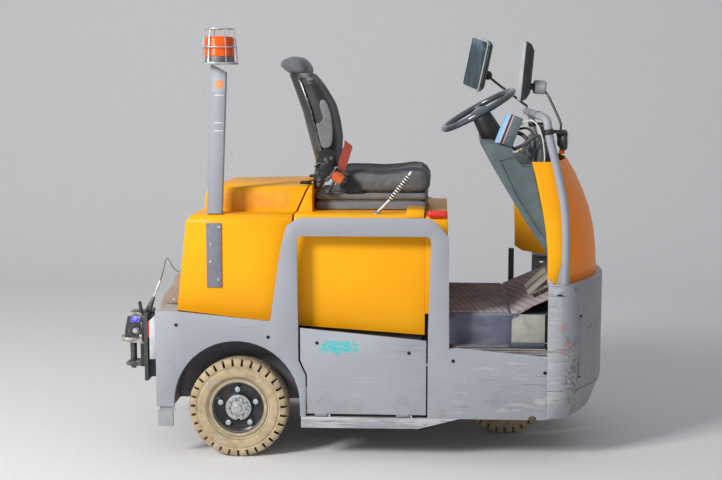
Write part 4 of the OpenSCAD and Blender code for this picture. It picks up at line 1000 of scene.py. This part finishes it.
def add_back_frame():
    """Recliner plates at the foot of the backrest, with their pivots, springs and covers."""
    pivot = [(0, -0.002), (0.030, -0.002), (0.033, 0.003), (0.030, 0.010), (0.018, 0.013), (0, 0.013)]
    bolts = [(-122, 1238, 14), (-98, 1244, 13), (-107, 1216, 10), (-140, 1190, 12), (-116, 1150, 12), (-160, 1180, 11),
             (-150, 1152, 13), (-154, 1130, 10)]  # x, z and size in mm
    parts, bright = [], []
    for side in (-1, 1):
        def out(x, off, z):
            return x, side * (0.2145 + off), z
        parts.append(slab("recliner_part", RECLINER, side * 0.2145, 0.005))
        parts.append(slab("recliner_cover", COVER, side * 0.2385, 0.0045))
        parts.append(lathe("recliner_part", pivot, out(-0.118, 0.004, 1.196), (0, side, 0), 32))
        for x, z, across in bolts:
            at = out(x * MM, 0.005, z * MM)
            bright.append(hex_bolt("recliner_bolt", at, (0, side, 0), across * MM, 0.008, 0.009))
        spring = [out(-0.170, 0.010, 1.205), out(-0.150, 0.013, 1.222), out(-0.128, 0.013, 1.218),
                  out(-0.110, 0.010, 1.232)]
        bright.append(tube("recliner_bolt", curve_points(spring, 16), 0.0035, 10))
    dress(join("seat_recliner", parts), M["black_metal"], "lid", "seat_plastic")
    dress(join("seat_recliner_bolts", bright), M["recliner_metal"], "lid", "seat_plastic")


def seat_base(material):
    """The suspension's rubber bellows between its two frames."""
    middle, lower, upper = 74, 1022.5, 1094.5
    rows = [  # z and outset of the skin in mm
        (lower, -10), (lower + 3, -3), (1027, 0), (1052, 0), (1057, -4), (1060, -14), (1064, -14), (1068, -5),
        (1071, 0), (1086, 0), (1091, -3), (upper, -10),
    ]
    rings = []
    for z, out in rows:
        rings.append([Vector((middle + u, v, z)) * MM for u, v in rounded_outline(240 + out, 230 + out, 26, 8)])
    made = smooth(loft("seat_bellows", rings), 60)
    dress(made, material, "lid", "seat_plastic", "seat_base")


def belts():
    """The lap belt's retractor on the right of the seat: a full spool in its bracket and the webbing from it."""
    axle = SPOOL_TURN @ Vector((0, 0, 1))

    def at(x, y, z):
        return SPOOL_AT + SPOOL_TURN @ Vector((x, y, z)) * MM
    metal = []
    outline = [(-33, -24), (-24, -27), (22, -27), (31, -16), (31, 16), (22, 27), (-24, 27), (-33, 24)]
    for height in (-29, 27):
        metal.append(loft("retractor_plate", [[at(x, y, height + t) for x, y in outline] for t in (0, 2.5)]))
    corners = ((-24, -28), (24, -28), (24, 28), (-24, 28))
    metal.append(loft("retractor_web", [[at(-34 + t, y, z) for y, z in corners] for t in (0, 2.5)]))
    spring = [(0, 0.029), (0.020, 0.029), (0.022, 0.031), (0.022, 0.040), (0.019, 0.043), (0, 0.043)]
    metal.append(lathe("retractor_spring", spring, SPOOL_AT, axle, 32))
    for x, y in ((-26, 18), (-26, -18), (24, 18), (24, -18)):
        metal.append(hex_bolt("retractor_rivet", at(x, y, -29), SPOOL_TURN @ Vector((0, 0, -1)), 0.008, 0.004, 0.006))
    metal.append(rounded_block("retractor_foot", (0.038, 0.048, 0.005), (-0.109, -0.250, 1.0980), 0.001, 3))
    stem = [(x, BELT_Y, z) for x, z in ((-0.108, 1.099), (-0.099, 1.116), (-0.088, 1.136), (-0.080, 1.152))]
    metal.append(tube("retractor_stem", curve_points(stem, 16), 0.0075, 14))
    metal.append(hex_bolt("retractor_bolt", (-0.112, -0.246, 1.1005), (0, 0, 1), 0.016, 0.009, 0.013))
    dress(join("belt_retractor", metal), M["bracket_plate"], "lid", "belt_orange", "belt_retractors")
    ring = [(0.006, -0.026), (0.0225, -0.026), (0.0238, -0.0245)]
    ring += [(0.0238 + 0.0005 * (k % 2), -0.0235 + 0.0047 * k / 2) for k in range(21)]
    ring += [(0.0238, 0.0245), (0.0225, 0.026), (0.006, 0.026)]
    dress(lathe("belt_spool", ring, SPOOL_AT, axle, 40), M["webbing_bright"], "lid", "belt_orange")
    lean = [(-56, 0, 1183), (-50, 0, 1203), (-46, -1, 1222), (-36, -1.5, 1250), (-28, -1, 1276), (-22, 0, 1296),
            (-20, 2, 1304), (-21, 5, 1309), (-22, 8, 1306), (-24, 9, 1294)]
    path = curve_points([Vector((x, BELT_Y * 1000 + y, z)) * MM for x, y, z in lean], 50)
    dress(strap("belt_strap", path, (0.77, 0, -0.64), 0.041, 0.0022), M["webbing"], "lid", "belt_orange")


# ---------- controls ----------

def parking_lever(material):
    """Bent rod in its socket, with a ribbed sleeve and a rounded tip."""
    foot = Vector((0.105, -0.384, 1.0223))
    path = curve_points([foot + Vector(p) * MM for p in ((3, 0, 6), (36, 0, 38), (92, 2, 100), (140, 4, 168))], 30)
    rod = tube("lever_rod", path, 0.0068, 20)
    profile = [(0.0, 0), (0.016, 0), (0.016, 0.006), (0.011, 0.010), (0.0, 0.0105)]
    socket = lathe("lever_socket", profile, foot, (0, 0, 1), 28)
    a, b = path[13], path[28]
    axis = (b - a).normalized()
    turns = (b - a).length / COIL_PITCH
    sleeve = tube("lever_sleeve", [a + (b - a) * t / 30 for t in range(31)],
                  lambda t: 0.0092 + 0.0006 * math.sin(2 * math.pi * t * turns), 24)
    profile = [(0.0, -0.004), (0.0078, -0.004), (0.0085, 0.006), (0.006, 0.011), (0.0, 0.012)]
    tip = lathe("lever_tip", profile, path[-1], axis, 24)
    dress(join("parking_lever_form", [rod, socket, tip]), material, "lid", "bright_steel", "parking_lever")
    dress(sleeve, M["sleeve"], "lid", "bright_steel")


HUB = Vector((0.534, 0, 1.444))
TILT = math.radians(29)
SKEW = math.radians(4.5)
WHEEL_R = 0.1705
GRIPS = 36


def steering_wheel(material):
    """Padded rim with finger grips, three flat spokes and a hub cap."""
    turn = Matrix.Rotation(SKEW, 3, "X") @ Matrix.Rotation(-TILT, 3, "Y")
    count, sides = 96, 20
    rings = []
    for i in range(count):
        a = 2 * math.pi * i / count
        grip = 0.0150 - 0.0011 * (0.5 + 0.5 * math.cos(GRIPS * a))
        ring = []
        for c, s in circle(sides):
            r = WHEEL_R + grip * c
            ring.append(HUB + turn @ Vector((r * math.cos(a), r * math.sin(a), grip * 0.94 * s)))
        rings.append(ring)
    rim = loft("wheel_rim_part", rings + [rings[0]], ends=False)
    edit(rim, lambda bm: bmesh.ops.remove_doubles(bm, verts=bm.verts, dist=1e-6))
    parts = [rim]
    section = ((-1, 0), (-0.8, -1), (0, -1.3), (0.8, -1), (1, 0), (0.8, 1), (0, 1.3), (-0.8, 1))
    for angle in (90, 210, 330):
        a = math.radians(angle)
        out, side = Vector((math.cos(a), math.sin(a), 0)), Vector((-math.sin(a), math.cos(a), 0))
        rings = []
        for t in [i / 10 for i in range(11)]:
            reach = 0.030 + t * (WHEEL_R - 0.034)
            half = 0.024 - 0.011 * math.sin(math.pi * min(1, t * 0.9))
            drop = -0.016 * (1 - t) ** 1.5
            center = out * reach + Vector((0, 0, drop))
            rings.append([HUB + turn @ (center + side * x * half + Vector((0, 0, z * 0.0055))) for x, z in section])
        parts.append(loft("spoke_part", rings))
    profile = [(0.0, -0.032), (0.034, -0.032), (0.040, -0.024), (0.042, -0.004), (0.036, 0.004), (0.018, 0.008),
               (0.0, 0.009)]
    parts.append(lathe("wheel_cap_part", profile, HUB, turn @ Vector((0, 0, 1)), 48))
    dress(join("steering_wheel_form", parts), material, "hand_wheel", "black_plastic", "steering_wheel")


# ---------- fittings of the solids ----------

def screws():
    """Screw heads and sunk holes that the photograph shows on the plates."""
    holes = [(-724, 564), (-339, 517), (427, 426), (804, 381), (-136, 495), (245, 457)]  # x and z in mm
    flank, door = 0.5, (-200, 310)  # y of the plates, and the door's ends in mm
    profile = [(0.0, 0.0001), (0.0075, 0.0001), (0.0072, 0.0012), (0.0040, 0.0016), (0.0036, 0.0006), (0.0, 0.0006)]
    for side, name in SIDES:
        bodies = {"chassis": [], "door": []}
        for x, z in holes:
            head = lathe("screw_part", profile, (x * MM, side * flank, z * MM), (0, side, 0), 20)
            bodies["door" if door[0] < x < door[1] else "chassis"].append(head)
        for key, parts in bodies.items():
            body = "chassis" if key == "chassis" else "door_" + name
            # Near-black heads: painted shade of sunk holes.
            dress(join(key + "_screws_" + name, parts), M["hole"], body, "grey_paint")
    profile = [(0.0, 0.0002), (0.0050, 0.0002), (0.0056, 0.0008), (0.0, 0.0008)]
    # Near-black discs: painted shade of the bumper's holes.
    for x, y, z in ((952, -437.2, 609), (949.5, -437.6, 352)):
        head = lathe("bumper_hole_" + str(z), profile, (x * MM, y * MM, z * MM), (0.3, -0.95, 0), 18)
        dress(head, M["hole"], "chassis", "grey_paint")
    # A black block in the bumper's slot: painted shade of the slot.
    slot_plug = rounded_block("bumper_slot", (0.022, 0.0016, 0.008), (0.859, -0.5002, 0.704), 0.0006, 2)
    dress(slot_plug, M["black_metal"], "chassis", "grey_paint")


def console_screw():
    """The pale round-headed screw on the tail console's flank."""
    profile = [(0.0, -0.002), (0.0085, -0.002), (0.0085, 0.0008), (0.0060, 0.0034), (0.0, 0.0042)]
    head = lathe("console_screw", profile, (-0.770, -0.3002, 0.637), (0, -1, 0), 28)
    dress(head, M["zinc"], "chassis", "primer_brown")


def step_tread():
    """The worn ribbed edge that closes the step between its nosing and the side plate, on both sides."""
    for side, name in SIDES:
        rings = []
        for x in (0.457, 0.60, 0.72, 0.843):
            ring = []
            for k in range(9):
                y, z = 0.4868 if k % 2 else 0.4888, 0.4735 - 0.0046 * k
                ring += [(y, z + 0.0006), (y, z - 0.003)]
            rings.append([Vector((x, side * y, z)) for y, z in ring + [(0.4835, 0.434), (0.4835, 0.4745)]])
        dress(loft("step_tread_" + name, rings), M["platform"], "chassis", "mat_rubber")


def hood_seam_shade():
    """A near-black strip along the lower edge of the rear hood, on both sides: painted shade of the seam under it."""
    lip = ((-0.001, -0.0035), (0.0008, -0.0035), (0.0012, 0.0), (0.0008, 0.0035), (-0.001, 0.0035))
    for side, name in SIDES:
        rings = []
        for x, z in ((-0.728, 0.6130), (-0.600, 0.5988), (-0.460, 0.5832), (-0.346, 0.5705)):
            rings.append([Vector((x, side * (0.4403 + a), z + b)) for a, b in lip])
        dress(loft("hood_seam_shade_" + name, rings), M["hole"], "chassis", "grey_paint")


def bracket_bolts():
    """Four bolts on the pole's bracket."""
    parts = []
    for x, z in ((-0.5466, 0.9688), (-0.5804, 0.8965), (-0.5839, 0.8242), (-0.5515, 0.7499)):
        parts.append(hex_bolt("bolt_part", (x, -0.4463, z), (0, -1, 0), 0.0105, 0.005, 0.0072))
    dress(join("bracket_bolts", parts), M["zinc"], "chassis", "bracket_grey")


def coupling_bolts():
    """Bolts of the tow coupling, and the bare blue sticker beside them."""
    parts = []
    for y in (-0.06, 0.06):
        for z in (0.427, 0.482):
            parts.append(hex_bolt("bolt_part", (-0.9705, y, z), (-1, 0, 0), 0.021, 0.011, 0.017))
    parts.append(hex_bolt("bolt_part", (-1.0005, -0.0603, 0.4535), (0, -1, 0), 0.024, 0.011, 0.0165))
    dress(join("coupling_bolts", parts), M["zinc"], "chassis", "cast_black")
    sticker = rounded_block("coupling_sticker", (0.066, 0.0012, 0.030), (-0.991, -0.0527, 0.502), 0.0005, 2)
    dress(sticker, M["sticker"], "chassis", "cast_black")


def rounded_outline(half_u, half_v, radius, steps):
    """Points of a rounded rectangle."""
    out = []
    for su, sv, start in ((1, 1, 0), (-1, 1, 90), (-1, -1, 180), (1, -1, 270)):
        for k in range(steps + 1):
            a = math.radians(start + 90 * k / steps)
            out.append((su * (half_u - radius) + radius * math.cos(a), sv * (half_v - radius) + radius * math.sin(a)))
    return out


def turned(x, y, z):
    """Rotation about X, then Y, then Z, in degrees."""
    return (Matrix.Rotation(math.radians(z), 3, "Z") @ Matrix.Rotation(math.radians(y), 3, "Y")
            @ Matrix.Rotation(math.radians(x), 3, "X"))


MIRRORS = (
    # name, middle of the glass, turn
    ("right", Vector((0.690, -0.420, 1.611)), turned(0, 5.1, -3.4)),
    ("left", Vector((0.5285, 0.412, 1.652)), turned(12.5, 5.6, 31.7)),
)
MIRROR_HALF = (75, 120)  # mm


def mirror_faces():
    """Glass and rounded frame of each mirror."""
    half_u, half_v = MIRROR_HALF
    for name, at, turn in MIRRORS:
        def ring(inset, x):
            return [at + turn @ Vector((x, u, v)) * MM
                    for u, v in rounded_outline(half_u - inset, half_v - inset, max(4, 19 - inset), 6)]
        loops = [ring(7.4, 2.7), ring(7.2, -0.6), ring(5.6, -1.8), ring(1.6, -1.9), ring(-0.5, -0.6), ring(-0.9, 8),
                 ring(-0.5, 12), ring(1, 12.4)]
        frame_ring = loft("mirror_frame_" + name, loops + [loops[0]], ends=False)
        dress(smooth(frame_ring, 40), M["mirror_frame"], "chassis", "black_plastic")
        glass = loft("mirror_glass_" + name, [ring(7.0, 2.9), ring(7.0, 1.6), ring(8.4, 1.1)])
        dress(smooth(glass, 30), M["glass"], "chassis", "black_plastic")


LAMP_AT = Vector((0.856, -0.432, 1.333))


def lamp_faces():
    """Ribbed lens in front of each head lamp and a small amber marker under it."""
    for side, name in SIDES:
        at = Vector((LAMP_AT.x, side * -LAMP_AT.y, LAMP_AT.z))
        dome = [(0.0, 0.0313), (0.014, 0.0299), (0.028, 0.0283), (0.0366, 0.0245), (0.0368, 0.0262)]
        dome += [(r * MM, 0.0300 + (28 - r) * 0.00009 + 0.0004 * (r // 3 % 2)) for r in range(28, 2, -3)]
        dome.append((0.0, 0.0332))
        dress(lathe("head_lamp_lens_" + name, dome, at, (1, 0, 0), 48), M["clear_lens"], "chassis", "black_plastic")
        marker = [(0.0, -0.012), (0.008, -0.012), (0.010, -0.009), (0.010, 0.006), (0.008, 0.010), (0.0, 0.012)]
        below = at + Vector((0.006, 0.002 * side, -0.047))
        dress(lathe("marker_lamp_" + name, marker, below, (1, 0, 0), 28), M["amber"], "chassis", "lens_amber")


def wheel_bolts():
    """Eight bolts round a centre boss on each rear hub's face."""
    bolts, pitch_r = 8, 0.0385
    boss = [(0.0, 0.0), (0.0215, 0.0), (0.0215, 0.002), (0.0165, 0.0024), (0.0155, 0.0072), (0.0135, 0.0090),
            (0.0, 0.0094)]
    for side, name in SIDES:
        low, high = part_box("hub_" + name)
        face = side * max(abs(low[1]), abs(high[1]))
        parts = []
        for k in range(bolts):
            a = math.radians((k + 0.5) * 360 / bolts)
            at = (REAR_AXLE_X + pitch_r * math.cos(a), face, TYRE_R + pitch_r * math.sin(a))
            parts.append(hex_bolt("bolt_part", at, (0, side, 0), 0.0125, 0.0062, 0.0086))
        parts.append(lathe("boss_part", boss, (REAR_AXLE_X, face, TYRE_R), (0, side, 0), 40))
        dress(join("hub_bolts_" + name, parts), M["zinc"], "wheel_" + name, "bright_steel")


CABLES = (
    # name, diameter in mm, material, points in mm
    ("cable_white", 6, "cable_white", (
        (688, -312, 1384), (700, -330, 1391), (710, -360, 1400), (720, -395, 1408), (733, -428, 1413),
        (745, -443, 1409), (760, -443, 1395), (772, -441, 1370), (779, -440, 1350), (784, -439, 1332),
        (789, -438, 1300), (792, -437, 1270), (792, -436, 1250), (790, -434, 1236), (786, -430, 1222),
        (781, -424, 1208))),
    ("cable_black", 15, "hose", (
        (676, -330, 1290), (682, -362, 1296), (694, -392, 1304), (710, -410, 1314), (728, -418, 1328),
        (744, -420, 1342), (760, -418, 1350), (773, -414, 1344), (783, -408, 1322), (788, -402, 1298),
        (790, -398, 1270), (789, -395, 1244), (785, -392, 1226), (780, -390, 1212))),
    ("cable_thick", 17, "hose", (
        (672, -296, 1352), (688, -316, 1356), (704, -334, 1352), (718, -348, 1340), (729, -356, 1322),
        (736, -360, 1300), (740, -360, 1280), (744, -358, 1262), (750, -354, 1246), (757, -350, 1226))),
    ("cable_grey", 10, "black", (
        (686, -300, 1368), (700, -322, 1374), (716, -346, 1378), (732, -366, 1374), (745, -380, 1360),
        (752, -388, 1338), (755, -390, 1312), (756, -388, 1286), (756, -384, 1262), (757, -380, 1240),
        (760, -374, 1216))),
)


def cables():
    """The cables and the hose that run from behind the terminal box into the open top of the cowl."""
    for name, diameter, key, points in CABLES:
        path = curve_points([Vector(q) * MM for q in points], 32)
        piece = tube(name, path, diameter / 2 * MM, 14)
        dress(piece, M[key], "chassis", "black_plastic")


# ---------- assembly ----------

M = {}


def paint(material, *names):
    """Puts a material on nodes of the frame."""
    for name in names:
        slots = NODES[name].data.materials
        slots.clear()
        slots.append(material)
    return material


def make_materials():
    """Dresses the nodes of the frame, and keeps what the pieces of this file need."""
    paint(grey_paint("grey_paint"), "side_plate_right", "side_plate_left", "rear_wall", "guard_hoop")
    paint(grey_paint("bumper_paint", 1.0, 0.75), "front_bumper", "front_skirt")
    paint(door_paint(), "battery_door_right", "battery_door_left")
    paint(rail_paint(), "door_rails")
    paint(pole_paint(), "beacon_pole")
    paint(yellow_paint("yellow_paint"), "knee_panel", "front_cowl", "seat_hood", "hood_sides")
    # The rear hood's yellow has painted shade streaks on its raised middle.
    paint(yellow_paint("hood_paint", 0.55), "rear_hood")
    paint(dusty("dark_steel", (0.105, 0.100, 0.122), 0.6, wear=0.5), "arch_liners", "chassis_frame", "rear_axle",
          "steer_fork")
    paint(cast_black(), "tow_coupling")
    M["sticker"] = sticker_blue()
    M["platform"] = paint(platform_paint(), "platform")
    paint(dusty("post_grey", (0.085, 0.095, 0.125), 0.5, dust=0.3), "side_post")
    paint(dusty("coupling_plate", (0.045, 0.052, 0.062), 0.5, dust=0.35, wear=0.7, wear_color=(0.30, 0.31, 0.32)),
          "coupling_plate")
    paint(dusty("bracket_grey", (0.195, 0.208, 0.250), 0.5, dust=0.15, wear=0.4, wear_color=(0.40, 0.41, 0.43)),
          "pole_bracket")
    paint(dusty("primer_brown", (0.315, 0.25, 0.225), 0.75, dust=0.5), "tail_console")
    paint(dusty("lamp_grey", (0.55, 0.57, 0.60), 0.5, dust=0.4), "lamp_housings")
    paint(lens("lens_red", (0.62, 0.02, 0.012)), "tail_lenses")
    M["amber"] = paint(lens("lens_amber", (0.90, 0.105, 0.002), 0.16, 0.4), "beacon_lens")
    paint(beacon_foot(), "beacon_base")
    M["zinc"] = zinc("bright_steel")
    paint(zinc("cage_wire", (0.80, 0.82, 0.84), 0.22), "beacon_cage")
    paint(zinc("hub_zinc", (0.62, 0.68, 0.73), 0.30), "hub_right", "hub_left")
    paint(zinc("pin_steel", (0.13, 0.135, 0.135), 0.42), "coupling_pin")
    paint(release_metal(), "release_rod")
    paint(dusty("battery_case", (0.05, 0.05, 0.06), 0.5), "battery_block")
    paint(dusty("motor_black", (0.04, 0.04, 0.045), 0.5), "drive_motor")
    paint(ribbed_mat(), "floor_mat", "toe_board")
    paint(dusty("worn_steel", (0.42, 0.38, 0.33), 0.45, 0.3, dust=0.4), "pedals")
    paint(dusty("red_plastic", (0.75, 0.035, 0.03), 0.38, dust=0.12), "stop_handle")
    paint(dusty("dash_plastic", (0.098, 0.135, 0.145), 0.52, dust=0.25, relief=0.2), "dashboard")
    paint(box_plastic(), "terminal_box")
    M["black"] = paint(dusty("black_plastic", (0.022, 0.023, 0.026), 0.42, dust=0.18), "steering_column",
                       "head_lamps")
    M["wheel"] = dusty("wheel_plastic", (0.056, 0.073, 0.092), 0.18, dust=0.22, dust_color=(0.22, 0.26, 0.29),
                       Coat_Weight=0.7, Coat_Roughness=0.1)
    M["black_metal"] = dusty("black_metal", (0.012, 0.012, 0.013), 0.32, dust=0.2, dust_color=(0.10, 0.10, 0.105),
                             wear=0.7, wear_color=(0.30, 0.31, 0.32))
    paint(rim_paint(), "front_rim", "rim_right", "rim_left")
    paint(mirror_shell(), "mirrors")
    M["mirror_frame"] = dusty("mirror_frame", (0.46, 0.49, 0.50), 0.4, dust=0.2)
    M["clear_lens"] = lens("clear_lens", (0.72, 0.76, 0.80), 0.08)
    M["sleeve"] = banded_coil()
    M["hose"] = dusty("hose_rubber", (0.050, 0.056, 0.062), 0.5, dust=0.3, relief=0.4)
    M["cable_white"] = dusty("cable_white", (0.72, 0.72, 0.70), 0.45, dust=0.15)
    M["bracket_plate"] = retractor_metal()
    M["webbing_bright"] = webbing("spool_orange", (0.86, 0.155, 0.035))
    M["pad_vinyl"] = vinyl("seat_pad", (0.160, 0.170, 0.180), 0.12)
    paint(tyre_rubber(), "front_tyre", "tyre_right", "tyre_left")
    M["bellows"] = dusty("seat_plastic", (0.17, 0.175, 0.185), 0.6, dust=0.35)
    # Near-black: painted shade of holes and of the seam under the rear hood.
    M["hole"] = Shader("shade_black").set((0.004, 0.004, 0.005), 0.7, 0.0).material
    M["recliner_metal"] = zinc("recliner_metal", (0.21, 0.22, 0.225), 0.25)
    M["vinyl"] = vinyl("seat_fabric", (0.118, 0.124, 0.132), 0.15, 0.85)
    M["back_vinyl"] = vinyl("seat_back_vinyl", (0.018, 0.018, 0.021), 0.25, top_highlight=0.8)
    # The shell's pale edges, given by the wear arguments, are a painted highlight along its glossy rim.
    M["shell"] = dusty("seat_shell", (0.040, 0.040, 0.040), 0.2, dust=0.25, dust_color=(0.16, 0.15, 0.14), wear=0.8,
                       wear_color=(0.36, 0.35, 0.33), Coat_Weight=0.5, Coat_Roughness=0.1)
    M["webbing"] = webbing("belt_orange", (0.40, 0.055, 0.032))
    M["glass"] = mirror_glass()


def main():
    scene = bpy.context.scene
    scene.view_settings.view_transform = "Standard"
    add_camera()
    add_world()
    add_lamp("key", (-4.4, -4.8, 4.2), (0.1, 0, 0.7), 1.8, 470, (1, 0.98, 0.95))
    add_stage()
    make_materials()
    cables()
    soften_edges()
    seat_cushion(M["vinyl"])
    seat_back(M["back_vinyl"], M["shell"])
    seat_base(M["bellows"])
    belts()
    parking_lever(M["zinc"])
    steering_wheel(M["wheel"])
    screws()
    step_tread()
    hood_seam_shade()
    console_screw()
    bracket_bolts()
    coupling_bolts()
    mirror_faces()
    lamp_faces()
    wheel_bolts()


main()
